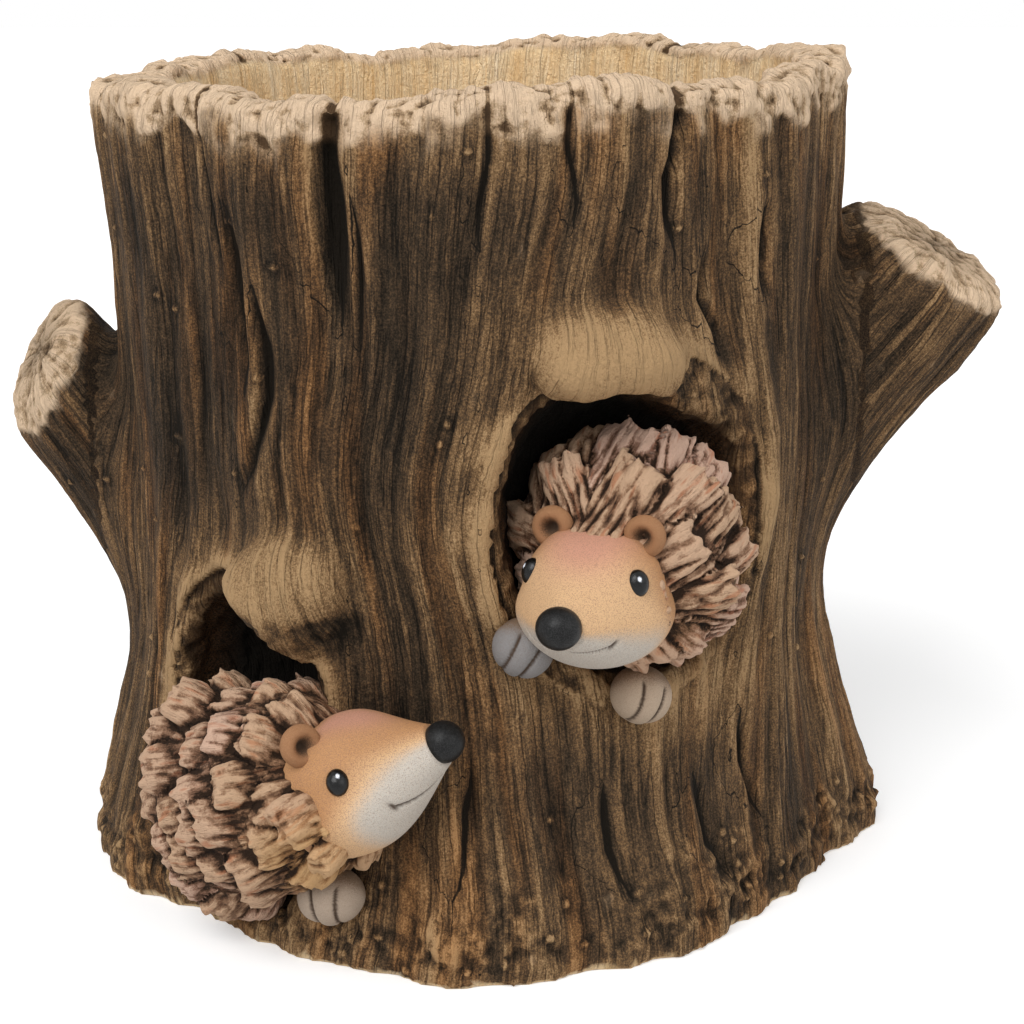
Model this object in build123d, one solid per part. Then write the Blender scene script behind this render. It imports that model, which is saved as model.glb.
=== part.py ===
from build123d import *
import math
import os

# Tree stump planter with two hedgehogs that look out of dens in its bark. Millimetres, +Z up.
# The origin is the centre of the drain hole on the underside, and the front faces -Y.
# Angles round the trunk are in degrees from the front, positive towards +X.

# Clearances
BOND_GAP = 0.15
OVERRUN = 30.0

# Trunk
RIM_HEIGHT = 210.8
RIM_TILT = 3.5
RIM_HIGH_ANGLE = 60.0
RIM_WAVE = 1.6
RIM_WAVE_COUNT = 5
RIM_WAVE_ANGLE = 14.0
RIM_JAG = 1.1
RIM_JAG_COUNT = 17
RIM_RADIUS = 97.5
RIM_FLARE = 3.2
RIM_FLARE_ANGLE = -80.0
RIM_FLARE_SPREAD_ANGLE = 60.0
RIM_FLARE_DROP = 34.0
WAIST_RADIUS = 94.5
WAIST_HEIGHT = 78.0
BASE_RADIUS = 101.0
SWELL_DEPTH = 1.5
SWELL_COUNT = 13
SWELL_TWIST_ANGLE = 40.0
ROOT_REACH = 14.0
ROOT_RISE = 42.0
ROOT_ANGLES = (2.0, 38.0, 88.0, 152.0, -155.0, -112.0, -68.0)
ROOT_SPREAD_ANGLES = (30.0, 16.0, 20.0, 18.0, 22.0, 16.0, 20.0)
ROOT_REACH_SHARES = (1.05, 0.35, 1.0, 0.6, 0.8, 0.5, 0.7)
TRUNK_HEIGHT_SHARES = (0.0, 0.05, 0.12, 0.2, 0.3, 0.4, 0.5, 0.6, 0.7, 0.8, 0.92)
RIM_INNER_SHARE = 0.7

# Grooves between the bark's ribs: they run down the trunk, wander, and bend round the dens
GROOVE_DEPTH = 3.4
GROOVE_DEPTH_SHARES = (1.0, 0.6, 0.85, 0.5, 0.95)
GROOVE_SIDE_ANGLE = 3.2
FRONT_GROOVE_ANGLES = (-86, -76, -68, -59, -50, -43, -36, -28, -19, -9, 2, 14, 23, 31, 39, 49, 59, 69, 79)
BACK_GROOVE_ANGLES = (90, 101, 112, 122, 132, 141, 152, 162, 173, 183, 193, 204, 214, 224, 233, 244, 254, 264)
GROOVE_WANDER_ANGLE = 1.6
GROOVE_WANDER_HEIGHT = 64.0
GROOVE_WANDER_TURN_SHARE = 3.0
GROOVE_BEND_SHARE = 0.6
GROOVE_BEND_ROUNDS = 12

# Soil cavity and drain
WALL = 12.0
FLOOR = 14.0
CAVITY_FILLET = 9.0
CAVITY_FILLET_ANGLES = (0.0, 30.0, 60.0, 90.0)
CAVITY_COLUMN_COUNT = 48
DRAIN_RADIUS = 7.0

# Rounded forms are cut in flat facets
FLAT_SHARE = 1e-9
OVAL_COLUMN_COUNT = 16
OVAL_ROW_COUNT = 8
DEN_COLUMN_COUNT = 20
DEN_ROW_COUNT = 10

# Sawn branch stubs: the root lies in the trunk, and the tip stands clear of the bark
STUB_COLUMN_COUNT = 28
STUB_RIB_COUNT = 7
STUB_RIB_SHARE = 0.05
STUB_STATION_SHARES = (0.0, 0.35, 0.7, 1.0)
SPIGOT_RADIUS = 6.0
SPIGOT_DEPTH = 7.0
LEFT_STUB_ANGLE = -91.0
LEFT_STUB_ROOT_SINK = 22.0
LEFT_STUB_ROOT_HEIGHT = 71.0
LEFT_STUB_ROOT_RADIUS = 26.5
LEFT_STUB_TIP_REACH = 24.0
LEFT_STUB_TIP_HEIGHT = 133.0
LEFT_STUB_TIP_RADIUS = 19.5
LEFT_STUB_END_RISE_ANGLE = 29.0
LEFT_STUB_END_TURN_ANGLE = 25.0
RIGHT_STUB_ANGLE = 91.0
RIGHT_STUB_ROOT_SINK = 22.0
RIGHT_STUB_ROOT_HEIGHT = 97.5
RIGHT_STUB_ROOT_RADIUS = 30.0
RIGHT_STUB_TIP_REACH = 30.5
RIGHT_STUB_TIP_HEIGHT = 162.0
RIGHT_STUB_TIP_RADIUS = 25.5
RIGHT_STUB_END_RISE_ANGLE = 57.0
RIGHT_STUB_END_TURN_ANGLE = -16.0

# Quill coat: raised diamonds in staggered rows round the neck
QUILL_DEPTH = 3.6
QUILL_ROW_COUNT = 11
QUILL_COLUMN_COUNT = 15
QUILL_LEAN_SHARE = 0.55

# Head, in the same form on both hedgehogs
HEAD_WIDTH = 38.0
HEAD_HEIGHT = 33.0
SNOUT_LENGTH = 24.0
NAPE_LENGTH = 13.0
NAPE_GIRTH_SHARE = 0.82
HEAD_STATION_SHARES = (0.0, 0.15, 0.3, 0.45, 0.6, 0.75, 0.9, 1.0)
HEAD_GIRTH_SHARES = (1.0, 0.98, 0.93, 0.84, 0.72, 0.58, 0.44, 0.34)
HEAD_DROOP_SHARES = (0.0, 0.0, 0.0, 0.01, 0.02, 0.03, 0.04, 0.04)
HEAD_COLUMN_COUNT = 22
BROW_NARROW_SHARE = 0.2
BROW_START_SHARE = -0.3
BROW_FULL_SHARE = 0.75
NOSE_RADIUS = 5.2
NOSE_BED_SHARE = 0.35
EYE_HALF_WIDTH = 2.9
EYE_HALF_HEIGHT = 3.3
EYE_HALF_DEPTH = 2.2
EAR_RADIUS = 4.8
EAR_HALF_THICKNESS = 2.8
EAR_DISH_SHARE = 0.7
EAR_BACK = 0.5
EAR_SPREAD_ANGLE = 37.0

# Paws
PAW_HALF_WIDTH = 7.6
PAW_HALF_HEIGHT = 7.2
PAW_HALF_DEPTH = 7.5
PAW_LIFT = 3.0
TOE_GROOVE = 1.1
TOE_GROOVE_SIDE_COUNT = 6
TOE_SPREAD_SHARE = 0.36

# Upper hedgehog and its den
UPPER_BODY_ANGLE = 27.0
UPPER_BODY_HEIGHT = 99.0
UPPER_BODY_LIFT = -9.0
UPPER_BODY_HALF_WIDTH = 28.0
UPPER_BODY_HALF_HEIGHT = 28.5
UPPER_BODY_HALF_LENGTH = 25.0
UPPER_NECK_TURN_ANGLE = -53.0
UPPER_NECK_RISE_ANGLE = -12.0
UPPER_NECK_LENGTH = 23.0
UPPER_FACE_TURN_ANGLE = -48.0
UPPER_FACE_RISE_ANGLE = 4.0
UPPER_EYE_FORWARD = 8.5
UPPER_EYE_RISE = 6.8
UPPER_LEFT_PAW_TURN_ANGLE = -19.5
UPPER_LEFT_PAW_DROP = 18.0
UPPER_RIGHT_PAW_TURN_ANGLE = -2.5
UPPER_RIGHT_PAW_DROP = 32.0
UPPER_DEN_TURN_ANGLE = -2.0
UPPER_DEN_RISE = 13.0
UPPER_DEN_HALF_WIDTH = 35.0
UPPER_DEN_HALF_HEIGHT = 34.0
UPPER_DEN_DEPTH = 34.0

# Lower hedgehog and its den
LOWER_BODY_ANGLE = -36.0
LOWER_BODY_HEIGHT = 40.0
LOWER_BODY_LIFT = 6.0
LOWER_BODY_HALF_WIDTH = 22.0
LOWER_BODY_HALF_HEIGHT = 31.0
LOWER_BODY_HALF_LENGTH = 22.0
LOWER_NECK_TURN_ANGLE = 92.0
LOWER_NECK_RISE_ANGLE = 14.0
LOWER_NECK_LENGTH = 41.0
LOWER_FACE_TURN_ANGLE = 111.0
LOWER_FACE_RISE_ANGLE = 33.0
LOWER_EYE_FORWARD = 4.5
LOWER_EYE_RISE = 4.8
LOWER_PAW_TURN_ANGLE = 17.5
LOWER_PAW_DROP = 21.0
LOWER_DEN_TURN_ANGLE = -2.0
LOWER_DEN_RISE = 19.0
LOWER_DEN_HALF_WIDTH = 24.0
LOWER_DEN_HALF_HEIGHT = 30.0
LOWER_DEN_DEPTH = 32.0

# Knots that hang over the dens
KNOT_HALF_DEPTH = 11.0
UPPER_KNOT_ANGLE = 20.0
UPPER_KNOT_HEIGHT = 151.0
UPPER_KNOT_HALF_WIDTH = 19.0
UPPER_KNOT_HALF_HEIGHT = 13.0
LOWER_KNOT_ANGLE = -27.5
LOWER_KNOT_HEIGHT = 91.5
LOWER_KNOT_HALF_WIDTH = 15.0
LOWER_KNOT_HALF_HEIGHT = 15.0

# What the grain bends round: angle, height, half width and half height
GRAIN_BENDS = (
    (
        UPPER_BODY_ANGLE + UPPER_DEN_TURN_ANGLE,
        UPPER_BODY_HEIGHT + UPPER_DEN_RISE,
        UPPER_DEN_HALF_WIDTH,
        UPPER_DEN_HALF_HEIGHT,
    ),
    (
        LOWER_BODY_ANGLE + LOWER_DEN_TURN_ANGLE,
        LOWER_BODY_HEIGHT + LOWER_DEN_RISE,
        LOWER_DEN_HALF_WIDTH,
        LOWER_DEN_HALF_HEIGHT,
    ),
)

UP = Vector(0, 0, 1)


def cosine(degrees):
    """The cosine of an angle in degrees."""
    return math.cos(math.radians(degrees))


def sine(degrees):
    """The sine of an angle in degrees."""
    return math.sin(math.radians(degrees))


def fall_off(offset, spread):
    """A smooth bump: 1 in the middle, near 0 past twice the spread."""
    return math.exp(-((offset / spread) ** 2))


def angle_between(first, second):
    """The turn in degrees from the second angle to the first, from -180 to 180."""
    return (first - second + 180) % 360 - 180


def bark_radius(angle, height):
    """Distance from the trunk's axis to the bark."""
    if height < WAIST_HEIGHT:
        flare = (1 - height / WAIST_HEIGHT) ** 2
        radius = WAIST_RADIUS + (BASE_RADIUS - WAIST_RADIUS) * flare
    else:
        climb = (height - WAIST_HEIGHT) / (RIM_HEIGHT - WAIST_HEIGHT)
        radius = WAIST_RADIUS + (RIM_RADIUS - WAIST_RADIUS) * climb
        flare = RIM_FLARE * fall_off(max(RIM_HEIGHT - height, 0), RIM_FLARE_DROP)
        radius += flare * fall_off(angle_between(angle, RIM_FLARE_ANGLE), RIM_FLARE_SPREAD_ANGLE)
    for root_angle, spread, share in zip(ROOT_ANGLES, ROOT_SPREAD_ANGLES, ROOT_REACH_SHARES):
        reach = ROOT_REACH * share * fall_off(height, ROOT_RISE)
        radius += reach * fall_off(angle_between(angle, root_angle), spread)
    twist = SWELL_TWIST_ANGLE * height / RIM_HEIGHT
    return radius + SWELL_DEPTH * cosine(SWELL_COUNT * angle + twist)


def rim_height(angle, share):
    """Height of the broken rim at a share of the way out from the axis."""
    tilt = RIM_TILT * cosine(angle - RIM_HIGH_ANGLE)
    wave = RIM_WAVE * cosine(RIM_WAVE_COUNT * (angle - RIM_WAVE_ANGLE))
    jag = RIM_JAG * cosine(RIM_JAG_COUNT * angle)
    return RIM_HEIGHT + share * (tilt + wave + jag)


def bearing(angle, rise):
    """The unit direction at an angle round the trunk, raised above the horizontal."""
    return Vector(cosine(rise) * sine(angle), -cosine(rise) * cosine(angle), sine(rise))


def axis_point(angle, radius, height):
    """A point at a distance from the trunk's axis."""
    return bearing(angle, 0) * radius + UP * height


def bark_point(angle, height, lift):
    """A point that stands the given lift out from the bark."""
    return axis_point(angle, bark_radius(angle, height) + lift, height)


def plane_facing(origin, direction):
    """A plane whose Z looks along the direction, with Y as near upright as it can be."""
    return Plane(origin=origin, x_dir=UP.cross(direction), z_dir=direction)


def facet(*corners):
    """A flat facet."""
    return Face(Wire.make_polygon(corners, close=True))


def quad_facets(first, second, third, fourth):
    """One facet over four corners where they lie flat, or two across the shorter diagonal."""
    across = third - first
    along = fourth - second
    if abs((second - first).dot(across.cross(fourth - first))) < FLAT_SHARE * across.length**3:
        return [facet(first, second, third, fourth)]
    if across.length < along.length:
        return [facet(first, second, third), facet(first, third, fourth)]
    return [facet(first, second, fourth), facet(second, third, fourth)]


def faceted(rings, start=None, end=None):
    """A solid of flat facets through rings of points, closed by end points or by flat end faces."""
    faces = []
    for ring, following in zip(rings, rings[1:]):
        for i in range(len(ring)):
            faces += quad_facets(ring[i - 1], ring[i], following[i], following[i - 1])
    for ring, point in ((rings[0], start), (rings[-1], end)):
        if point is None:
            faces.append(facet(*ring))
        else:
            faces += [facet(ring[i - 1], ring[i], point) for i in range(len(ring))]
    return Solid(Shell(faces))


def oval_point(half_sizes, polar, turn):
    """A point of an ellipsoid: polar is measured from Z, and turn from X."""
    x = half_sizes[0] * sine(polar) * cosine(turn)
    y = half_sizes[1] * sine(polar) * sine(turn)
    return Vector(x, y, half_sizes[2] * cosine(polar))


def ellipsoid(half_sizes, row_count=OVAL_ROW_COUNT, column_count=OVAL_COLUMN_COUNT):
    """A faceted ellipsoid about the origin."""
    turns = angles_round(column_count)
    polars = [180 * row / row_count for row in range(1, row_count)]
    rings = [[oval_point(half_sizes, polar, turn) for turn in turns] for polar in polars]
    return faceted(rings, oval_point(half_sizes, 0, 0), oval_point(half_sizes, 180, 0))


def angles_round(count):
    """Evenly spaced angles for one turn."""
    return [360 * i / count for i in range(count)]


def grain_angle(line, height):
    """Where a line of the grain lies at a height: it wanders, and bends round what stands in its way."""
    wander = GROOVE_WANDER_ANGLE * sine(360 * height / GROOVE_WANDER_HEIGHT + GROOVE_WANDER_TURN_SHARE * line)
    angle = line
    for _ in range(GROOVE_BEND_ROUNDS):
        shift = wander
        for bend_angle, bend_height, half_width, half_height in GRAIN_BENDS:
            across = angle_between(angle, bend_angle)
            spread_angle = math.degrees(half_width / WAIST_RADIUS)
            fade = fall_off(across, math.sqrt(2) * spread_angle)
            fade *= fall_off(height - bend_height, math.sqrt(2) * half_height)
            shift += GROOVE_BEND_SHARE * across * fade
        angle = line + shift
    return angle


def bark_columns():
    """Lines down the bark, each its angle and depth share: two sides and a middle for each groove."""
    columns = []
    for index, angle in enumerate(FRONT_GROOVE_ANGLES + BACK_GROOVE_ANGLES):
        depth_share = GROOVE_DEPTH_SHARES[index % len(GROOVE_DEPTH_SHARES)]
        columns.append((angle - GROOVE_SIDE_ANGLE, 0))
        columns.append((angle, depth_share))
        columns.append((angle + GROOVE_SIDE_ANGLE, 0))
    return columns


def trunk():
    """The trunk's outer form, with its ribs and grooves, under its broken top."""
    columns = bark_columns()
    rings = []
    for share in TRUNK_HEIGHT_SHARES:
        height = share * RIM_HEIGHT
        rings.append(
            [bark_point(grain_angle(line, height), height, -depth * GROOVE_DEPTH) for line, depth in columns]
        )
    tops = [(grain_angle(line, RIM_HEIGHT), depth) for line, depth in columns]
    rings.append([bark_point(angle, rim_height(angle, 1), -depth * GROOVE_DEPTH) for angle, depth in tops])
    inner = RIM_INNER_SHARE * RIM_RADIUS
    rings.append([axis_point(angle, inner, rim_height(angle, RIM_INNER_SHARE)) for angle, _ in tops])
    return faceted(rings, end=Vector(0, 0, RIM_HEIGHT))


def soil_cavity():
    """The pot's inside, before the dens' housings are taken out of it."""
    angles = angles_round(CAVITY_COLUMN_COUNT)
    floor_radius = WAIST_RADIUS - SWELL_DEPTH - WALL
    rings = []
    for turn in CAVITY_FILLET_ANGLES:
        radius = floor_radius - CAVITY_FILLET * (1 - sine(turn))
        height = FLOOR + CAVITY_FILLET * (1 - cosine(turn))
        rings.append([axis_point(angle, radius, height) for angle in angles])
    top_radius = RIM_RADIUS - SWELL_DEPTH - WALL
    rings.append([axis_point(angle, top_radius, RIM_HEIGHT + OVERRUN) for angle in angles])
    return faceted(rings)


def branch(angle, root_sink, root_height, root_radius, tip_reach, tip_height, tip_radius, end_rise, end_turn):
    """A ribbed branch from its root inside the trunk to its sawn end."""
    root = bark_point(angle, root_height, -root_sink)
    tip = bark_point(angle, tip_height, tip_reach)
    axis = (tip - root).normalized()
    end_way = bearing(angle + end_turn, end_rise)
    rings = []
    for share in STUB_STATION_SHARES:
        radius = root_radius + (tip_radius - root_radius) * share
        way = (axis + (end_way - axis) * share**2).normalized()
        plane = plane_facing(root + (tip - root) * share, way)
        ring = []
        for turn in angles_round(STUB_COLUMN_COUNT):
            reach = radius * (1 + STUB_RIB_SHARE * cosine(STUB_RIB_COUNT * turn))
            ring.append(plane.from_local_coords((reach * cosine(turn), reach * sine(turn), 0)))
        rings.append(ring)
    return faceted(rings)


def spigot(angle, root_height, tip_height, lift):
    """The round key that runs from a stub into the wall."""
    height = (root_height + tip_height) / 2
    inner = bark_point(angle, height, -SPIGOT_DEPTH - lift)
    peg = Circle(SPIGOT_RADIUS + lift)
    return extrude(plane_facing(inner, bearing(angle, 0)) * peg, 2 * SPIGOT_DEPTH)


def quill_point(half_sizes, row, column, lift):
    """A point of the coat's lattice, whose row 0 is the pole at the neck."""
    grown = [half + lift for half in half_sizes]
    return oval_point(grown, 180 * row / QUILL_ROW_COUNT, 360 * column / QUILL_COLUMN_COUNT)


def quill_columns(row):
    """The middles of a row's tufts, in columns round the coat: odd rows are half a column round."""
    return [index + 0.5 * (row % 2) for index in range(QUILL_COLUMN_COUNT)]


def quill_coat(half_sizes):
    """A closed coat of diamonds, each raised to a quill tuft whose tip leans back from the neck."""
    faces = []
    for row in range(1, QUILL_ROW_COUNT):
        for column in quill_columns(row):
            front = quill_point(half_sizes, row - 1, column, 0)
            back = quill_point(half_sizes, row + 1, column, 0)
            left = quill_point(half_sizes, row, column - 0.5, 0)
            right = quill_point(half_sizes, row, column + 0.5, 0)
            tip = quill_point(half_sizes, row + QUILL_LEAN_SHARE, column, QUILL_DEPTH)
            corners = (front, left, back, right, front)
            faces += [facet(first, second, tip) for first, second in zip(corners, corners[1:])]
    return Solid(Shell(faces))


def coat_pocket(half_sizes, wall):
    """The hollow that holds a coat by the tips of its quills, or with a wall the housing round it."""
    lift = QUILL_DEPTH + BOND_GAP + wall
    rings = []
    for row in range(1, QUILL_ROW_COUNT):
        tip_row = row + QUILL_LEAN_SHARE
        rings.append([quill_point(half_sizes, tip_row, column, lift) for column in quill_columns(row)])
    start = quill_point(half_sizes, 0, 0, lift)
    end = quill_point(half_sizes, QUILL_ROW_COUNT, 0, lift)
    return faceted(rings, start, end)


def brow_share(level):
    """How the head narrows from its cheeks up to its brow, at a share of its half height."""
    climb = (level - BROW_START_SHARE) / (BROW_FULL_SHARE - BROW_START_SHARE)
    climb = min(max(climb, 0), 1)
    return 1 - BROW_NARROW_SHARE * climb**2 * (3 - 2 * climb)


def head_form(lift):
    """A head along Z, from its nape to the flat that the nose sits on, swollen by the lift."""
    stations = [-NAPE_LENGTH - lift]
    girths = [NAPE_GIRTH_SHARE]
    droops = [0]
    for station, girth, droop in zip(HEAD_STATION_SHARES, HEAD_GIRTH_SHARES, HEAD_DROOP_SHARES):
        stations.append(station * (SNOUT_LENGTH + lift))
        girths.append(girth)
        droops.append(droop * HEAD_HEIGHT)
    rings = []
    for station, girth, droop in zip(stations, girths, droops):
        ring = []
        for turn in angles_round(HEAD_COLUMN_COUNT):
            x = (girth * HEAD_WIDTH / 2 + lift) * cosine(turn) * brow_share(sine(turn))
            y = (girth * HEAD_HEIGHT / 2 + lift) * sine(turn) - droop
            ring.append(Vector(x, y, station))
        rings.append(ring)
    return faceted(rings)


def head_girth(station):
    """The share of the head's girth at a distance in front of the cheeks."""
    share = station / SNOUT_LENGTH
    for i in range(len(HEAD_STATION_SHARES) - 1):
        start, end = HEAD_STATION_SHARES[i : i + 2]
        if share <= end:
            blend = (share - start) / (end - start)
            return HEAD_GIRTH_SHARES[i] * (1 - blend) + HEAD_GIRTH_SHARES[i + 1] * blend
    return HEAD_GIRTH_SHARES[-1]


def nose_form(lift):
    """The button on the end of the snout, in its place on the head."""
    drop = HEAD_DROOP_SHARES[-1] * HEAD_HEIGHT
    return Pos(0, -drop, SNOUT_LENGTH + NOSE_BED_SHARE * NOSE_RADIUS) * ellipsoid([NOSE_RADIUS + lift] * 3)


def eye_form(forward, rise, side, lift):
    """A bead in its place on the head: side is 1 on the right of the face and -1 on the left."""
    girth = head_girth(forward)
    level = rise / (girth * HEAD_HEIGHT / 2)
    out = girth * HEAD_WIDTH / 2 * math.sqrt(1 - level**2) * brow_share(level)
    place = Plane(
        origin=(side * out, rise, forward),
        x_dir=(1, 0, -side),
        z_dir=(side * out, rise, out),
    )
    return place * ellipsoid([EYE_HALF_WIDTH + lift, EYE_HALF_HEIGHT + lift, EYE_HALF_DEPTH + lift])


def ear_place(side):
    """Where an ear stands on the head, on the edge between the face and the coat."""
    x = side * HEAD_WIDTH / 2 * sine(EAR_SPREAD_ANGLE)
    y = HEAD_HEIGHT / 2 * cosine(EAR_SPREAD_ANGLE) + EAR_HALF_THICKNESS
    return Pos(x, y, -EAR_BACK)


def ear_form(lift):
    """An ear's outside: a flat round lobe that faces forward."""
    return ellipsoid([EAR_RADIUS + lift, EAR_RADIUS + lift, EAR_HALF_THICKNESS + lift])


def ear_lobe():
    """An ear with its dished front."""
    dish_radius = EAR_DISH_SHARE * EAR_RADIUS
    dish = Pos(0, 0, EAR_HALF_THICKNESS) * ellipsoid([dish_radius, dish_radius, EAR_HALF_THICKNESS])
    return ear_form(0) - dish


def paw_form(lift):
    """A paw's plain outside."""
    return ellipsoid([PAW_HALF_WIDTH + lift, PAW_HALF_HEIGHT + lift, PAW_HALF_DEPTH + lift])


def grooved_paw():
    """A paw with two grooves that part its toes."""
    paw = paw_form(0)
    for side in (-1, 1):
        start = (side * TOE_SPREAD_SHARE * PAW_HALF_WIDTH, -PAW_HALF_HEIGHT, PAW_HALF_DEPTH)
        section = RegularPolygon(TOE_GROOVE, TOE_GROOVE_SIDE_COUNT)
        groove = Plane(origin=start, x_dir=(1, 0, 0), z_dir=(0, 1, 0)) * section
        paw -= extrude(groove, PAW_HALF_HEIGHT)
    return paw


# The pieces and pockets that both hedgehogs share, each made once
HEAD = head_form(0)
HEAD_POCKET = head_form(BOND_GAP)
NOSE = nose_form(0)
NOSE_POCKET = nose_form(BOND_GAP)
EAR = ear_lobe()
EAR_POCKET = ear_form(BOND_GAP)
PAW = grooved_paw()
PAW_POCKET = paw_form(BOND_GAP)


def hedgehog(angle, height, lift, half_sizes, neck, face, eye, sides, paws):
    """One hedgehog's pieces, the pockets that hold them, and the housing round its coat.

    The neck is its turn, rise and length, the face its turn and rise, an eye its place forward and up,
    and each paw its turn and drop.
    """
    body_centre = bark_point(angle, height, lift)
    neck_way = bearing(angle + neck[0], neck[1])
    body = plane_facing(body_centre, neck_way)
    head = plane_facing(body_centre + neck_way * neck[2], bearing(angle + face[0], face[1]))
    paw_planes = {}
    for name, (turn, drop) in paws.items():
        foot = bark_point(angle + turn, height - drop, PAW_LIFT)
        paw_planes[name] = plane_facing(foot, bearing(angle + turn, 0))
    paw_pockets = [plane * PAW_POCKET for plane in paw_planes.values()]
    ear_pockets = [head * ear_place(side) * EAR_POCKET for side in sides.values()]
    eye_pockets = [head * eye_form(*eye, side, BOND_GAP) for side in sides.values()]

    coat = body * quill_coat(half_sizes) - ([head * HEAD_POCKET] + ear_pockets + paw_pockets)
    face_piece = head * HEAD - ([head * NOSE_POCKET] + ear_pockets + eye_pockets + paw_pockets)
    pieces = {"coat": coat, "face": face_piece, "nose": head * NOSE}
    for name, side in sides.items():
        pieces[name + "ear"] = head * ear_place(side) * EAR
        pieces[name + "eye"] = head * eye_form(*eye, side, 0)
    for name, plane in paw_planes.items():
        pieces[name + "paw"] = plane * PAW
    pockets = [body * coat_pocket(half_sizes, 0), head * HEAD_POCKET] + paw_pockets
    return pieces, pockets, body * coat_pocket(half_sizes, WALL)


def den(angle, height, half_width, half_height, depth, wall):
    """A den's hollow, or with a wall the housing round it."""
    mouth = plane_facing(bark_point(angle, height, 0), bearing(angle, 0))
    half_sizes = [half_width + wall, half_height + wall, depth + wall]
    return mouth * ellipsoid(half_sizes, DEN_ROW_COUNT, DEN_COLUMN_COUNT)


def knot(angle, height, half_width, half_height):
    """A knot that swells out of the bark."""
    place = plane_facing(bark_point(angle, height, 0), bearing(angle, 0))
    return place * ellipsoid([half_width, half_height, KNOT_HALF_DEPTH])


upper_pieces, upper_pockets, upper_housing = hedgehog(
    UPPER_BODY_ANGLE,
    UPPER_BODY_HEIGHT,
    UPPER_BODY_LIFT,
    (UPPER_BODY_HALF_WIDTH, UPPER_BODY_HALF_HEIGHT, UPPER_BODY_HALF_LENGTH),
    (UPPER_NECK_TURN_ANGLE, UPPER_NECK_RISE_ANGLE, UPPER_NECK_LENGTH),
    (UPPER_FACE_TURN_ANGLE, UPPER_FACE_RISE_ANGLE),
    (UPPER_EYE_FORWARD, UPPER_EYE_RISE),
    {"left_": -1, "right_": 1},
    {
        "left_": (UPPER_LEFT_PAW_TURN_ANGLE, UPPER_LEFT_PAW_DROP),
        "right_": (UPPER_RIGHT_PAW_TURN_ANGLE, UPPER_RIGHT_PAW_DROP),
    },
)
lower_pieces, lower_pockets, lower_housing = hedgehog(
    LOWER_BODY_ANGLE,
    LOWER_BODY_HEIGHT,
    LOWER_BODY_LIFT,
    (LOWER_BODY_HALF_WIDTH, LOWER_BODY_HALF_HEIGHT, LOWER_BODY_HALF_LENGTH),
    (LOWER_NECK_TURN_ANGLE, LOWER_NECK_RISE_ANGLE, LOWER_NECK_LENGTH),
    (LOWER_FACE_TURN_ANGLE, LOWER_FACE_RISE_ANGLE),
    (LOWER_EYE_FORWARD, LOWER_EYE_RISE),
    {"": -1},
    {"": (LOWER_PAW_TURN_ANGLE, LOWER_PAW_DROP)},
)
upper_den = (
    UPPER_BODY_ANGLE + UPPER_DEN_TURN_ANGLE,
    UPPER_BODY_HEIGHT + UPPER_DEN_RISE,
    UPPER_DEN_HALF_WIDTH,
    UPPER_DEN_HALF_HEIGHT,
    UPPER_DEN_DEPTH,
)
lower_den = (
    LOWER_BODY_ANGLE + LOWER_DEN_TURN_ANGLE,
    LOWER_BODY_HEIGHT + LOWER_DEN_RISE,
    LOWER_DEN_HALF_WIDTH,
    LOWER_DEN_HALF_HEIGHT,
    LOWER_DEN_DEPTH,
)

# Stubs, cut to the bark that they seat on
left_stub = branch(
    LEFT_STUB_ANGLE,
    LEFT_STUB_ROOT_SINK,
    LEFT_STUB_ROOT_HEIGHT,
    LEFT_STUB_ROOT_RADIUS,
    LEFT_STUB_TIP_REACH,
    LEFT_STUB_TIP_HEIGHT,
    LEFT_STUB_TIP_RADIUS,
    LEFT_STUB_END_RISE_ANGLE,
    LEFT_STUB_END_TURN_ANGLE,
)
right_stub = branch(
    RIGHT_STUB_ANGLE,
    RIGHT_STUB_ROOT_SINK,
    RIGHT_STUB_ROOT_HEIGHT,
    RIGHT_STUB_ROOT_RADIUS,
    RIGHT_STUB_TIP_REACH,
    RIGHT_STUB_TIP_HEIGHT,
    RIGHT_STUB_TIP_RADIUS,
    RIGHT_STUB_END_RISE_ANGLE,
    RIGHT_STUB_END_TURN_ANGLE,
)
left_key = (LEFT_STUB_ANGLE, LEFT_STUB_ROOT_HEIGHT, LEFT_STUB_TIP_HEIGHT)
right_key = (RIGHT_STUB_ANGLE, RIGHT_STUB_ROOT_HEIGHT, RIGHT_STUB_TIP_HEIGHT)

# The pot
knots = [
    knot(UPPER_KNOT_ANGLE, UPPER_KNOT_HEIGHT, UPPER_KNOT_HALF_WIDTH, UPPER_KNOT_HALF_HEIGHT),
    knot(LOWER_KNOT_ANGLE, LOWER_KNOT_HEIGHT, LOWER_KNOT_HALF_WIDTH, LOWER_KNOT_HALF_HEIGHT),
]
housings = [upper_housing, lower_housing, den(*upper_den, WALL), den(*lower_den, WALL)]
hollows = [den(*upper_den, 0), den(*lower_den, 0)] + upper_pockets + lower_pockets
sockets = [spigot(*left_key, BOND_GAP), spigot(*right_key, BOND_GAP)]
drain = extrude(Circle(DRAIN_RADIUS), FLOOR + OVERRUN)
cavity = soil_cavity() - housings
bark = trunk()
stump = bark + knots - ([cavity, drain] + hollows + sockets)

pieces = {
    "stump_pot": stump,
    "left_branch_stub": left_stub - bark + spigot(*left_key, 0),
    "right_branch_stub": right_stub - bark + spigot(*right_key, 0),
}
for owner, parts in (("upper_hedgehog_", upper_pieces), ("lower_hedgehog_", lower_pieces)):
    for name, piece in parts.items():
        pieces[owner + name] = piece

os.makedirs("parts", exist_ok=True)
for name, piece in pieces.items():
    export_step(piece, "parts/" + name + ".step")
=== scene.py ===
"""Looks of a tree stump planter with two hedgehogs, made around its packed solids."""

import itertools
import math
from typing import NamedTuple

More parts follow.
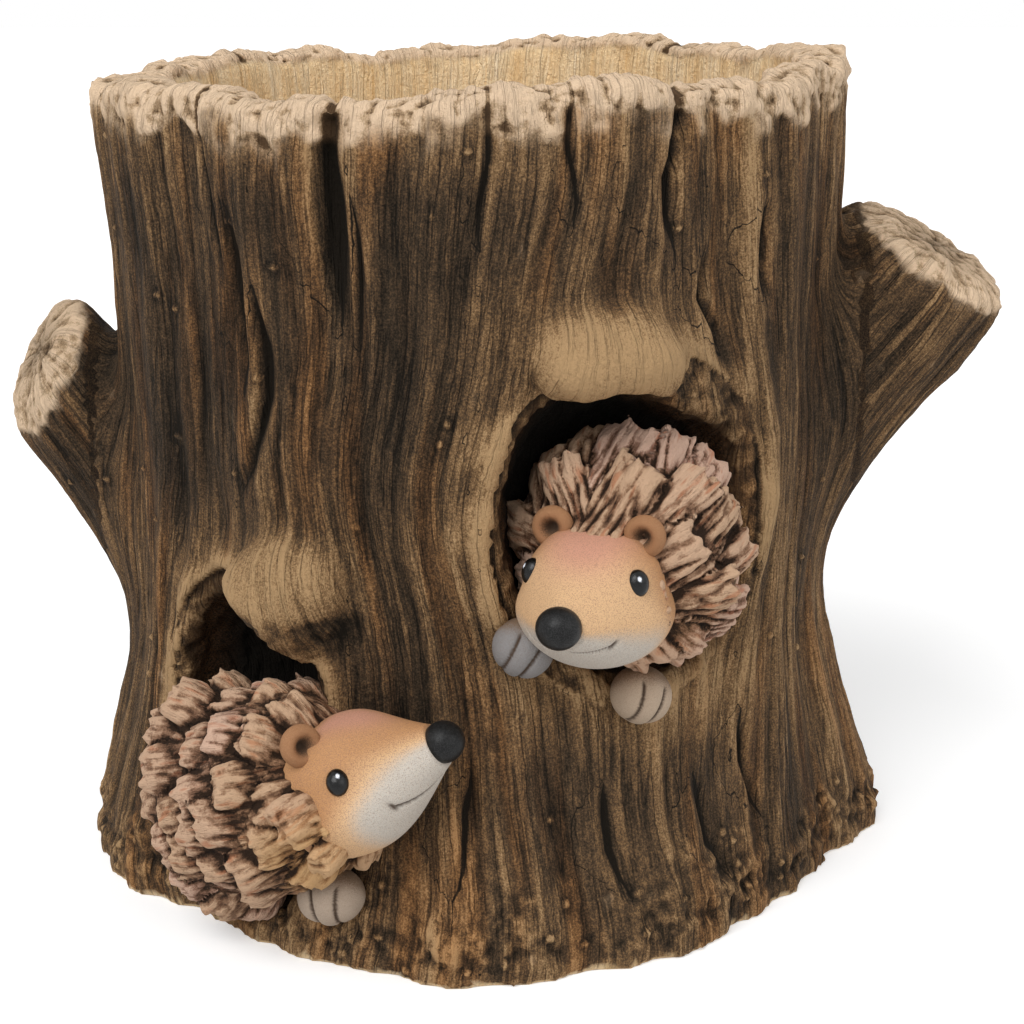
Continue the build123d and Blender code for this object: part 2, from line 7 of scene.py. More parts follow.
import bmesh
import bpy
import numpy as np
from bpy.props import FloatProperty, FloatVectorProperty, IntProperty, PointerProperty
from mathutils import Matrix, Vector
from mathutils.kdtree import KDTree


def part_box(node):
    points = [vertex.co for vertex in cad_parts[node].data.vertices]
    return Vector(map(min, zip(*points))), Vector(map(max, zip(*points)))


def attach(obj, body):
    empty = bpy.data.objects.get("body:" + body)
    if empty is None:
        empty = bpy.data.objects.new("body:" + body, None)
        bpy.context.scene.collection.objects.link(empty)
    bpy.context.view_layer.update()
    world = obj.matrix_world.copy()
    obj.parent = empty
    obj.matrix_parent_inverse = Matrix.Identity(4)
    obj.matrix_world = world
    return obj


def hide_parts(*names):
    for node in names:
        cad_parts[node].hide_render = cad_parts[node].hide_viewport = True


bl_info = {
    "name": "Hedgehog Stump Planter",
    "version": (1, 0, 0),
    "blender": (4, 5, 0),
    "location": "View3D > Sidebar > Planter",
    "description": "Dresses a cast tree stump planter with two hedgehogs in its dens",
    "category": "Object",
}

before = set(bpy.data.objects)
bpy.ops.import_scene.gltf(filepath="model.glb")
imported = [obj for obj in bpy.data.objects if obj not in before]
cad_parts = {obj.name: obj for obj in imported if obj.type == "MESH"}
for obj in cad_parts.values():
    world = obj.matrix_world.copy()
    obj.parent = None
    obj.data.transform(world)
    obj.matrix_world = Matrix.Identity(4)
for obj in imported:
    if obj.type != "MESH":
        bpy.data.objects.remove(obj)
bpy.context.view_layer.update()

# Lengths are in millimetres here, and meshes are scaled to metres as they are made.
# Where a pair is a range, something starts at its first value and is full at its second.
MM = 0.001
UP = np.array((0.0, 0.0, 1.0))

# Trunk: angles are in degrees from the front, positive towards +X
TRUNK_RADIUS = 95.0
INSIDE_RADIUS = 89.0
RIM_BIN_COUNT = 120
RIM_BAND = 11.0
FOOT_BAND = 28.0
UNDERSIDE = 1.2
UNDERSIDE_PALE_SHARE = 0.8
DRAIN_REACH = 10.0
FLOOR_HEIGHT = 14.0
DOWNWARD = -0.5
WALL_FACING = (0.75, 0.45)
WALL_TOP = (2.0, 4.5)
WALL_LINE_DEPTH = 0.3
WALL_LINE_SIZES = (2.0, 2.0, 60.0)
RIM_FULL_SHARE = 0.6
FOOT_FULL = 2.0

# Relief: sizes of the swells across and along the grain, and the mean levels of their ridges
SWELL_SIZES = (38.0, 38.0, 150.0)
RIB_SIZES = (12.0, 12.0, 110.0)
STRAND_SIZES = (4.6, 4.6, 64.0)
FIBRE_SIZES = (2.2, 2.2, 38.0)
RIDGE_MEAN = 0.7
STRAND_MEAN = 0.6
CREASE_GAIN = 2.4
CREASE_POWER = 0.75

# Crumbs: sizes, weight and seed step of each kind of lump, and how crumbly each area is
LUMPS = (
    ((8.0, 8.0, 8.0), 1.0, 8),
    ((3.4, 3.4, 4.6), 0.75, 9),
    ((1.9, 1.9, 1.9), 0.4, 13),
)
BARK_CRUMBS = 0.12
END_CRUMBS = 0.6
FOOT_CRUMBS = 1.5
FOOT_CRUMB_RISE = (1.0, 8.0)
KNOB_CRUMBS = 0.8
LIP_CRUMBS = 0.4
DEN_CRUMB_DEPTH = 1.3

# Ragged edges: depth, size and seed step of the swells that break each one
RIM_RAG = (7.0, 7.0, 5)
END_RAG = (0.5, 5.0, 15)
KNOT_RAG = (0.4, 11.0, 6)
PALE_RAG = (0.8, 13.0, 14)
LIP_RAG = (0.9, 16.0, 7)
FOOT_RAG = (18.0, 14.0, 10)

# How much calmer the relief is on knots and on broken wood, and the cracks on broken wood
KNOT_CALM = 0.6
BROKEN_CALM = 0.5
CRACK_CALM = 0.6

# Dens: angle, height, half width, half height and depth of each hollow
UPPER_DEN = (25.0, 112.0, 35.0, 34.0, 34.0)
LOWER_DEN = (-38.0, 59.0, 24.0, 30.0, 32.0)
DEN_WALL_SHARE = 1.16
DEN_EDGE_SHARE = 0.98
HOUSING_RADIUS = 76.0
HOUSING_FACING = (-0.6, -0.2)
RUST_DEPTH = 7.0
DEN_DEPTH = 19.0
BODY_POCKETS = (
    ("upper_hedgehog_coat", 37.0, 37.0),
    ("lower_hedgehog_coat", 31.0, 41.0),
)
LIP_RAISE = 2.4
LIP_PLACE_SHARE = 1.15
LIP_WIDTH_SHARE = 0.19
LIP_MEAN = 0.7
UPPER_PALE_SHARE = 1.5
LIP_KNOT_SHARE = 0.7

# Where the dens' upper edges are drawn down or up: angle, height, half width, half height and rise
WARPS = (
    (35.0, 143.0, 15.0, 13.0, -8.0),
    (10.0, 138.0, 10.0, 10.0, 4.0),
)
WARP_RADIUS = 55.0

# Knots over the dens: angle, height, half width and half height
UPPER_KNOT = (19.0, 152.0, 24.0, 15.0)
LOWER_KNOT = (-27.5, 93.0, 19.0, 17.0)
KNOT_EDGE = (1.25, 0.3)
LOWER_KNOT_EDGE = (1.2, 0.8)
LOWER_KNOT_DULL = 0.3
KNOB_EDGE = (1.25, 0.9)
KNOB_TOP = 3.0
KNOB_FULL = 9.0

# Grain: it wanders, and bends round the dens by a share of the way from each one's middle
BEND_SHARE = 0.6
WANDER_TURN = 0.5
WANDER_HEIGHT = 64.0
WANDER_TURN_SHARE = 3.0
GRAIN_SWAY = 2.5
SWAY_SIZE = (30.0, 30.0, 60.0)

# Lighter and darker areas: features first, then spots by angle, height, half width, half height and tone
RIM_TONE = 0.24
RIM_TONE_REACH = 30.0
RIM_TONE_FULL = 4.0
KNOB_TONE = -0.3
PALE_TONE = 0.14
FOOT_TONE = 0.06
# Painted highlight on each bead's top, and painted shade in a ring round its foot
BEAD_PAINTED_HIGHLIGHT = 0.12
BEAD_RING_PAINTED_SHADE = -0.18
BEAD_RING_SHARE = 1.25
BEAD_RING_WIDTH = 0.5
# Some spots are painted shade, such as the darker left side and under the rim, and some are painted
# highlights; the rest are the paint's own pale and orange tones.
PAINTED_LIGHT_AND_TONE_SPOTS = (
    (-62.0, 128.0, 42.0, 40.0, -0.2),
    (-31.0, 184.0, 18.0, 14.0, -0.2),
    (-14.0, 150.0, 24.0, 36.0, -0.16),
    (14.0, 180.0, 30.0, 16.0, -0.1),
    (52.0, 150.0, 14.0, 36.0, -0.1),
    (-16.0, 192.0, 5.0, 22.0, 0.14),
    (44.0, 178.0, 6.0, 24.0, 0.14),
    (-25.0, 156.0, 7.0, 24.0, 0.14),
    (9.0, 158.0, 14.0, 12.0, 0.2),
    (-3.0, 120.0, 11.0, 22.0, 0.16),
    (-30.0, 102.0, 34.0, 9.0, 0.14),
    (-52.0, 90.0, 14.0, 11.0, 0.24),
    (-70.0, 66.0, 14.0, 22.0, 0.16),
    (57.0, 82.0, 13.0, 24.0, 0.26),
    (39.0, 63.0, 24.0, 14.0, 0.46),
    (14.0, 64.0, 18.0, 10.0, 0.3),
    (76.0, 44.0, 22.0, 30.0, 0.2),
    (75.0, 184.0, 18.0, 18.0, 0.2),
    (-11.0, 60.0, 12.0, 14.0, -0.18),
    (-2.0, 14.0, 30.0, 12.0, 0.16),
    (-5.0, 28.0, 11.0, 12.0, 0.12),
    (43.0, 172.0, 22.0, 30.0, 0.13),
    (38.0, 26.0, 22.0, 12.0, 0.08),
)

# Casting beads scattered over the bark
BARK_BEAD_COUNT = 110
FOOT_BEAD_COUNT = 70
BARK_BEAD_HEIGHT = 0.9
BARK_BEAD_RADIUS = 1.25
BEAD_TOP_SHARE = 0.4
BEAD_GROUND = 0.9
FOOT_BEAD_GROUND = 0.3

# Hollows: rounds of averaging and weight of the fine and of the wide ones; paint darkens the hollows with
# wash and painted shade
BARK_HOLLOWS = ((3, 0.8), (36, 0.2))
COAT_HOLLOWS = ((4, 0.5), (40, 0.45))

# Branch stubs: root, tip, radius, and the way that the sawn end faces
LEFT_STUB = ((-74.0, 1.3, 71.0), (-120.0, 2.1, 133.0), 22.5, (-0.80, -0.36, 0.485))
RIGHT_STUB = ((74.0, 1.3, 97.5), (126.0, 2.2, 162.0), 27.5, (0.53, -0.14, 0.84))
STUB_START = 97.0
STUB_FULL = 109.0
STUB_SEAT = 99.0
STUB_MARGIN = 15.0
STUB_GRAIN_SHIFT = 500.0
STUB_JOINT_REACH = (18.0, 6.0)
STUB_JOINT_LENGTH = (62.0, 40.0)
SAWN_BAND = 8.0
SAWN_FULL = 1.0
END_EDGE = (0.3, 0.65)
END_ROUNDING = 0.2
CUT_CLOSENESS = 1e-4
WELD_CLOSENESS = 1e-3

# Cracks: points of angle and height from the top down, then depth and half width
CRACK_WANDER = 1.5
CRACK_WANDER_SIZE = (12.0, 12.0, 17.0)
RIM_CRACK_HEIGHT = 200.0
FAR_CRACK = 9.0
CRACK_SOFTNESS = 0.6
CRACK_OPEN_SHARE = 0.5
CRACK_CLOSING_SHARE = 0.65
CRACK_LEAST_OPENING = 0.02
CRACKS = (
    (((-19.4, 214), (-19.6, 199), (-19.4, 187), (-19.0, 174), (-18.3, 150)), 5.2, 1.5),
    (((-16.7, 194), (-15.8, 171), (-15.6, 158), (-16.0, 144)), 1.8, 0.6),
    (((-31.7, 172), (-31.2, 163), (-30.4, 152), (-30.6, 139), (-33.6, 122), (-38.5, 107)), 4.0, 1.2),
    (((-36.9, 190), (-35.9, 179), (-34.8, 162), (-33.9, 147), (-35.6, 133)), 2.6, 1.2),
    (((31.6, 214), (30.2, 198), (29.0, 192), (29.6, 184), (31.0, 167)), 4.6, 1.7),
    (((36.3, 177), (36.2, 162), (39.6, 154), (42.3, 144)), 3.6, 1.1),
    (((2.9, 208), (2.2, 195), (1.6, 187), (1.2, 172)), 1.6, 0.6),
    (((14.2, 202), (14.8, 188), (14.6, 177)), 1.2, 0.6),
    (((-71.5, 205), (-70.3, 184), (-68.2, 160)), 3.2, 1.2),
    (((49.2, 186), (48.9, 172), (49.0, 156)), 3.0, 1.3),
    (((-42.8, 208), (-40.2, 185), (-37.5, 164)), 1.8, 0.7),
    (((-0.1, 53), (-0.5, 37), (-2.4, 16)), 2.0, 1.0),
    (((19.0, 48), (19.8, 29), (22.5, 12)), 2.2, 1.0),
    (((34.3, 46), (36.5, 25), (39.9, 10)), 2.6, 1.2),
    (((45.6, 58), (45.3, 41), (50.5, 18)), 2.4, 1.1),
    (((140.0, 214), (138.0, 180), (141.0, 140), (136.0, 100)), 4.4, 1.5),
    (((-128.0, 212), (-131.0, 170), (-127.0, 128)), 4.0, 1.4),
    (((172.0, 130), (176.0, 90), (171.0, 40)), 3.4, 1.3),
)

# Hedgehogs: turns are in degrees from the front, rises above the horizontal
HEAD_HALF_WIDTH = 19.0
HEAD_HALF_HEIGHT = 16.5
SNOUT_LENGTH = 24.0
NAPE_LENGTH = 13.0
NAPE_DRAW_SHARE = 0.18
SNOUT_TIP_SHARE = 0.34
SNOUT_TAPER_POWER = 1.1
SNOUT_DROOP = 1.3
NOSE_AHEAD = 1.8
CHEEK_SHARE = 0.04
BROW_NARROW_SHARE = 0.2
BROW_SQUARE_SHARE = 0.4
BROW_LEVELS = (-0.3, 0.75)
SQUARE_LEVELS = (0.0, 0.45)
SQUARE_LENGTHS = (21.0, 7.0)
CHEEK_LEVEL = -0.45
CHEEK_SPREAD = 0.45
CHEEK_AHEAD = 4.0
CHEEK_LENGTH = 11.0
CHEEK_HEIGHT_SHARE = 0.05
HEAD_RING_POWER = 1.25
HEAD_RING_COUNT = 84
HEAD_COLUMN_COUNT = 108

# Quills: tufts grow over the body, the neck and the nape, and flow back from the face
COAT_BASE_GRID = 1.4
BODY_GRID = (24, 32)
NECK_GRID = (20, 28)
NAPE_GRID = (16, 24)
NAPE_INSET = (1.0, 1.0, 3.0)
NAPE_BACK = 7.0
COAT_SHOWN_RADIUS = 70.0
COAT_SHOWN_HEIGHT = 4.0
FACE_TUFT_BACK = 1.5
FACE_TUFT_GIRTH = 1.7
FLOW_AHEAD = 6.0
TUFT_HALF_THICKNESS = 3.9
TUFT_SINK = 2.4
TUFT_START_SHARE = 0.3
TUFT_CURL_SHARE = 0.1
TUFT_GRID = (11, 26)
TUFT_TURN = 0.25
TUFT_LIFT_SPREAD = (0.75, 1.25)
TUFT_LENGTH_SPREAD = (0.85, 1.1)
TUFT_WIDTH_SPREAD = (0.85, 1.15)
TUFT_BREADTHS = ((0.0, 0.6, 0.88, 1.0), (0.6, 1.0, 0.96))
TUFT_DEPTHS = ((0.0, 0.7, 1.0), (0.8, 1.0, 0.8))
TUFT_EDGE_THINNING = 0.4
RAG_SHARE = 0.15
RAG_WAVES = (5, 9, 14)
RAG_STRENGTHS = (0.2, 0.45)
GROOVE_SIZES = (3.0, 16.0, 1.0)
NICK_DEPTH = 0.5
NICK_SIZES = (1.9, 3.6, 1.0)
STRAND_STEP = 7.3
OCHRE_REACH = (36.0, 26.0)
OCHRE_HEIGHTS = (8.0, -6.0)
OCHRE_LEAST = 0.2
OCHRE_TONES = (0.1, 0.5)
DARK_REACH = (-4.0, 26.0)
FACE_BEAD_COUNT = 21
FACE_BEAD_TURNS = (-12.0, 192.0)
FACE_BEAD_STRAY = 0.8
FACE_BEAD_RADII = (1.0, 1.7)
FACE_BEAD_GRID = (8, 10)
PAW_CLEARANCE = 13.5

# Features of a head
MOUTH_FRONT = 22.0
MOUTH_MIDDLE_TURN = -80.0
MOUTH_CURVE_POWER = 1.15
MOUTH_WIDTH = 0.7
MOUTH_DEPTH = 0.8
MOUTH_LINE = (0.35, 0.95)
MOUTH_CORNER = (-0.5, 0.7)
MOUTH_FRONT_FADE = 1.0
MOUTH_LEAST_RADIUS = 2.0
DIMPLE_HEIGHT = 2.4
EDGE_LENGTHS = (11.0, -4.0)
PINK_LEVELS = (0.2, 0.85)
PINK_BACK = (-1.0, 4.0)
PINK_FRONT = (22.0, 10.0)
CHIN_BACK = (-2.0, 7.0)
CHIN_SLOPE_FROM = 6.0
EAR_RADIUS = 5.2
EAR_HALF_THICKNESS = 3.6
EAR_DISH_DEPTH = 1.35
EAR_DISH_SPREAD = 0.42
EAR_SHADE_SPREAD = 0.5
EAR_BACK_SHADE = 0.05
EAR_LEAST_HOLLOW = 0.35
EAR_GRID = (26, 40)
EAR_CLEARANCE = 6.8
EYE_HALF_SIZES = (2.8, 3.3, 2.4)
EYE_PROUD = 0.5
EYE_LOOK = (0.68, 0.2, 0.7)
EYE_GRID = (30, 44)
GLINT_SIDE = -0.15
GLINT_RISE = 0.35
GLINT_EDGE = (0.98, 0.992)
NOSE_RADIUS = 5.2
NOSE_SHARES = (1.04, 0.97, 0.97)
NOSE_GRID = (28, 40)
PAW_HALF_SIZES = (7.6, 7.2, 7.5)
PAW_GRID = (44, 72)
TOE_SHARE = 0.36
TOE_SPLAY = 0.2
TOE_SWELL = 0.02
TOE_FRONT = (0.0, 0.6)
TOE_LINE_WIDTH = 0.07
TOE_LINE_DEPTH = 0.07
TOE_LINE_FRONT = (-0.1, 0.25)
TOE_LINE_TOP = (0.8, 0.5)
TOE_LINE_PAINT = (0.25, 0.85)
PAW_BACK_PAINT = (0.45, -0.6)

# Gloss paint
DUST = (0.09, 0.09, 0.09, 1.0)
GLINT = (0.9, 0.93, 1.0, 1.0)

# Smoothing of the stump: rounds and share of each
FIRST_SMOOTHING = (9, 0.5)
JOINT_SMOOTHING = (120, 0.7)
LAST_SMOOTHING = (2, 0.5)

# Light: turns of the lamps in degrees, and how soft they are
KEY_TURNS = (42.0, 0.0, -32.0)
FILL_TURNS = (60.0, 0.0, 55.0)
LAMP_SPREAD = 38.0
WHITE = (1.0, 1.0, 1.0, 1.0)

SEED = 7


def bearing(turn, rise):
    """The unit direction at a turn round the trunk, raised above the horizontal."""
    turn = math.radians(turn)
    rise = math.radians(rise)
    return np.array((math.cos(rise) * math.sin(turn), -math.cos(rise) * math.cos(turn), math.sin(rise)))


def facing(way):
    """Side, up and forward axes, as rows, of something that looks the given way."""
    side = np.cross(UP, way)
    side /= np.linalg.norm(side)
    return np.array((side, np.cross(way, side), way))


def middle(node):
    """The centre of a node's box."""
    low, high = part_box(node)
    return np.array((low + high) / 2) / MM


# Numbers over many points at once


def ramp(values, low, high):
    """0 at low and 1 at high, eased between them; low may be the larger."""
    share = np.clip((values - low) / (high - low), 0, 1)
    return share * share * (3 - 2 * share)


def bell(values, reach):
    """1 at zero, falling smoothly to nearly 0 at twice the reach."""
    return np.exp(-((values / reach) ** 2))


GRADIENTS = np.array(
    [way for way in itertools.product((-1, 0, 1), repeat=3) if sum(map(abs, way)) == 2],
    float,
)
LATTICE = 256


def soft_noise(points, seed):
    """Smooth noise from about -1 to 1, with one swell to a unit."""
    table = np.random.default_rng(seed).permutation(LATTICE)
    cell = np.floor(points).astype(int)
    within = points - cell
    ease = within**3 * (within * (within * 6 - 15) + 10)
    result = np.zeros(len(points))
    for corner in itertools.product((0, 1), repeat=3):
        x, y, z = ((cell + corner) % LATTICE).T
        pick = table[(table[(table[x] + y) % LATTICE] + z) % LATTICE] % len(GRADIENTS)
        weight = np.prod(np.where(np.array(corner, bool), ease, 1 - ease), axis=1)
        result += weight * np.einsum("ij,ij->i", GRADIENTS[pick], within - corner)
    return result


def creased(points, sizes, seed):
    """Rounded ridges from 0 to 1 that meet in sharp creases."""
    ridges = CREASE_GAIN * np.abs(soft_noise(points / np.array(sizes), seed))
    return np.minimum(ridges, 1) ** CREASE_POWER


def rag(points, swells):
    """Swells that break an edge, of a depth, a size and a seed step."""
    depth, size, step = swells
    return depth * soft_noise(points / size, SEED + step)


def averaged(points, pairs, rounds, share):
    """Points drawn to the mean of their neighbours, by a share that may differ from point to point."""
    first, second = pairs.T
    count = len(points)
    neighbours = np.bincount(pairs.ravel(), minlength=count)[:, None]
    for _ in range(rounds):
        sums = np.empty_like(points)
        for axis in range(3):
            sums[:, axis] = np.bincount(first, points[second, axis], count)
            sums[:, axis] += np.bincount(second, points[first, axis], count)
        points = points + share * (sums / neighbours - points)
    return points


# Meshes


def points_of(mesh):
    """A mesh's points in millimetres."""
    flat = np.empty(3 * len(mesh.vertices), np.float32)
    mesh.vertices.foreach_get("co", flat)
    return flat.reshape(-1, 3).astype(float) / MM


def set_points(mesh, points):
    """Moves a mesh's points, given in millimetres."""
    mesh.vertices.foreach_set("co", (points * MM).astype(np.float32).ravel())
    mesh.update()


def normals_of(mesh):
    """A mesh's outward direction at each point."""
    flat = np.empty(3 * len(mesh.vertices), np.float32)
    mesh.vertex_normals.foreach_get("vector", flat)
    return flat.reshape(-1, 3).astype(float)


def pairs_of(mesh):
    """The two ends of each edge."""
    flat = np.empty(2 * len(mesh.edges), np.int32)
    mesh.edges.foreach_get("vertices", flat)
    return flat.reshape(-1, 2)


def mark(mesh, name, values):
    """Stores a number, or a vector, for each point under a name that a material reads."""
    if values.ndim == 1:
        layer = mesh.attributes.new(name, "FLOAT", "POINT")
        layer.data.foreach_set("value", values.astype(np.float32))
    else:
        layer = mesh.attributes.new(name, "FLOAT_VECTOR", "POINT")
        layer.data.foreach_set("vector", values.astype(np.float32).ravel())


def mesh_of(name, points, faces):
    """A mesh from points in millimetres."""
    mesh = bpy.data.meshes.new(name)
    mesh.from_pydata((points * MM).tolist(), [], faces)
    mesh.update()
    return mesh


def after(mesh, *steps):
    """A new mesh: the given one after modifiers, each a kind and its values."""
    holder = bpy.data.objects.new("holder", mesh)
    bpy.context.scene.collection.objects.link(holder)
    for kind, values in steps:
        modifier = holder.modifiers.new(kind, kind)
        for name, value in values.items():
            setattr(modifier, name, value)
    graph = bpy.context.evaluated_depsgraph_get()
    made = bpy.data.meshes.new_from_object(
        holder.evaluated_get(graph), preserve_all_data_layers=True, depsgraph=graph
    )
    bpy.data.objects.remove(holder)
    bpy.data.meshes.remove(mesh)
    return made


def fused(mesh, voxel):
    """A mesh's shells melted into one even skin."""
    return after(mesh, ("REMESH", {"mode": "VOXEL", "voxel_size": voxel * MM}))


def main_island(mesh):
    """A mesh without the loose bits that melting leaves beside its main skin."""
    pairs = pairs_of(mesh)
    both_ways = np.concatenate((pairs, pairs[:, ::-1]))
    labels = np.arange(len(mesh.vertices))
    settled = False
    while not settled:
        lower = labels.copy()
        np.minimum.at(lower, both_ways[:, 0], labels[both_ways[:, 1]])
        lower = lower[lower]
        settled = np.array_equal(lower, labels)
        labels = lower
    main = np.bincount(labels).argmax()
    edited = bmesh.new()
    edited.from_mesh(mesh)
    loose = [vertex for vertex, label in zip(edited.verts, labels) if label != main]
    bmesh.ops.delete(edited, geom=loose, context="VERTS")
    edited.to_mesh(mesh)
    edited.free()
    return mesh


def node_mesh(*nodes):
    """A welded copy of the meshes of some nodes."""
    welded = bmesh.new()
    for node in nodes:
        welded.from_mesh(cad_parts[node].data)
    bmesh.ops.remove_doubles(welded, verts=welded.verts, dist=WELD_CLOSENESS * MM)
    mesh = bpy.data.meshes.new(nodes[0] + "_copy")
    welded.to_mesh(mesh)
    welded.free()
    return mesh


def loft(rings):
    """Points and faces of a closed skin over rings of points, with a pole at each end."""
    ring_count, column_count, _ = rings.shape
    points = np.concatenate([rings.reshape(-1, 3), rings[:1].mean(1), rings[-1:].mean(1)])
    start = ring_count * column_count
    faces = []
    for column in range(column_count):
        following = (column + 1) % column_count
        for low in range(0, start - column_count, column_count):
            high = low + column_count
            faces.append((low + column, low + following, high + following, high + column))
        last = start - column_count
        faces.append((following, column, start))
        faces.append((last + column, last + following, start + 1))
    return points, faces


def globe(ring_count, column_count):
    """Rings of a unit globe about Z, without its poles' points."""
    polar = np.linspace(0, math.pi, ring_count + 2)[1:-1, None]
    turn = np.linspace(0, 2 * math.pi, column_count, endpoint=False)[None]
    ring = np.sin(polar)
    return np.stack(np.broadcast_arrays(ring * np.cos(turn), ring * np.sin(turn), -np.cos(polar)), -1)


def hollow_depths(mesh, rounds):
    """How far each point lies below its surroundings, negative on a crest."""
    points = points_of(mesh)
    level = averaged(points, pairs_of(mesh), rounds, 1.0)
    return np.einsum("ij,ij->i", level - points, normals_of(mesh))


def mark_hollows(mesh, kinds):
    """Marks each point from 0 on crests to 1 in hollows; each kind is a number of rounds and a weight."""
    level = 0.5
    for rounds, weight in kinds:
        level = level + weight * hollow_depths(mesh, rounds)
    mark(mesh, "hollow", np.clip(level, 0, 1))


def piece(name, mesh, material, slot, *nodes):
    """Shows a mesh as a piece of the planter in place of some nodes."""
    made = bpy.data.objects.new(name, mesh)
    bpy.context.scene.collection.objects.link(made)
    mesh.name = name
    mesh.materials.clear()
    mesh.materials.append(material)
    mesh.polygons.foreach_set("use_smooth", np.ones(len(mesh.polygons), bool))
    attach(made, "root")
    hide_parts(*nodes)
    return made


# Shader nodes


def put(tree, kind, inputs=None, **settings):
    """Adds a node, and sets its settings and sets or links its inputs."""
    node = tree.nodes.new(kind)
    for name, value in settings.items():
        setattr(node, name, value)
    for name, value in (inputs or {}).items():
        if isinstance(value, bpy.types.NodeSocket):
            tree.links.new(value, node.inputs[name])
        else:
            node.inputs[name].default_value = value
    return node


def read(tree, name, output="Fac"):
    """What a mesh stores under a name."""
    return put(tree, "ShaderNodeAttribute", attribute_name=name).outputs[output]


def blend(tree, share, first, second, kind="MIX"):
    """Mixes two colours by a share."""
    inputs = {0: share, 6: first, 7: second}
    return put(tree, "ShaderNodeMix", inputs, data_type="RGBA", blend_type=kind).outputs[2]


def spread(tree, value, low, high, start=0.0, end=1.0):
    """Turns a range of a value into another, eased and clamped."""
    inputs = {"Value": value, "From Min": low, "From Max": high, "To Min": start, "To Max": end}
    return put(tree, "ShaderNodeMapRange", inputs, interpolation_type="SMOOTHSTEP").outputs["Result"]


def maths(tree, operation, first, second=0.0):
    """One sum on values."""
    return put(tree, "ShaderNodeMath", {0: first, 1: second}, operation=operation).outputs[0]


def total(tree, start, *parts):
    """A start value plus each value's distance from one half, times its weight."""
    result = start - sum(weight for _, weight in parts) / 2
    for value, weight in parts:
        inputs = {0: value, 1: weight, 2: result}
        result = put(tree, "ShaderNodeMath", inputs, operation="MULTIPLY_ADD").outputs[0]
    return result


def mixed(tree, share, first, second):
    """Mixes two values by a share."""
    return put(tree, "ShaderNodeMix", {0: share, 2: first, 3: second}).outputs[0]


def colours(tree, value, *stops):
    """Turns a value into colours; each stop is a place and a colour, in rising order."""
    node = put(tree, "ShaderNodeValToRGB", {"Fac": value})
    elements = node.color_ramp.elements
    elements.remove(elements[1])
    elements[0].position = stops[0][0]
    elements[0].color = opaque(stops[0][1])
    for position, paint in stops[1:]:
        elements.new(position).color = opaque(paint)
    return node.outputs["Color"]


def stretched(tree, vector, sizes):
    """A vector divided by a size along each axis."""
    scale = tuple(1 / size for size in sizes)
    return put(tree, "ShaderNodeVectorMath", {0: vector, 1: scale}, operation="MULTIPLY").outputs[0]


def noise(tree, vector, sizes, detail=2.0, roughness=0.5):
    """A noise value whose swells have the given sizes."""
    spot = stretched(tree, vector, sizes)
    inputs = {"Vector": spot, "Scale": 1.0, "Detail": detail, "Roughness": roughness}
    return put(tree, "ShaderNodeTexNoise", inputs).outputs["Fac"]


def place(tree):
    """The place on the planter in millimetres."""
    position = put(tree, "ShaderNodeTexCoord").outputs["Object"]
    return stretched(tree, position, (MM, MM, MM))


def new_group(name, inputs, outputs):
    """A shader node group with named sockets; returns its tree, its input node and its output node."""
    tree = bpy.data.node_groups.new(name, "ShaderNodeTree")
    for kind, sockets in (("INPUT", inputs), ("OUTPUT", outputs)):
        for socket, type_name in sockets.items():
            tree.interface.new_socket(socket, in_out=kind, socket_type="NodeSocket" + type_name)
    return tree, tree.nodes.new("NodeGroupInput"), tree.nodes.new("NodeGroupOutput")


def casting_speckle():
    """The node group for fine specks of sprayed paint and the sandy surface of the casting."""
    name = "Casting speckle"
    if name in bpy.data.node_groups:
        return bpy.data.node_groups[name]
    inputs = {"Place": "Vector", "Size": "Float"}
    tree, source, sink = new_group(name, inputs, {"Specks": "Float", "Sand": "Float"})
    spot = {0: source.outputs["Place"], "Scale": source.outputs["Size"]}
    scaled = put(tree, "ShaderNodeVectorMath", spot, operation="SCALE").outputs[0]
    speck_inputs = {"Vector": scaled, "Scale": 2.6, "Detail": 2.0, "Roughness": 0.7}
    sand_inputs = {"Vector": scaled, "Scale": 1.1, "Detail": 4.0, "Roughness": 0.65}
    specks = put(tree, "ShaderNodeTexNoise", speck_inputs).outputs["Fac"]
    sand = put(tree, "ShaderNodeTexNoise", sand_inputs).outputs["Fac"]
    tree.links.new(spread(tree, specks, 0.35, 0.65), sink.inputs["Specks"])
    tree.links.new(sand, sink.inputs["Sand"])
    return tree


def speckled(tree, fineness):
    """Places the casting speckle in a material; returns its outputs."""
    inputs = {"Place": place(tree), "Size": fineness}
    return put(tree, "ShaderNodeGroup", inputs, node_tree=casting_speckle()).outputs


def painted(name, roughness, specular):
    """A new material; returns it, its tree and its shader."""
    material = bpy.data.materials.new(name)
    material.use_nodes = True
    tree = material.node_tree
    shader = tree.nodes["Principled BSDF"]
    shader.inputs["Roughness"].default_value = roughness
    shader.inputs["Specular IOR Level"].default_value = specular
    return material, tree, shader


def bumped(tree, shader, height, depth):
    """Fine relief under the paint."""
    inputs = {"Height": height, "Distance": depth * MM, "Strength": 1.0}
    tree.links.new(put(tree, "ShaderNodeBump", inputs).outputs["Normal"], shader.inputs["Normal"])


def opaque(paint):
    """A colour property with full cover."""
    return (*paint, 1.0)


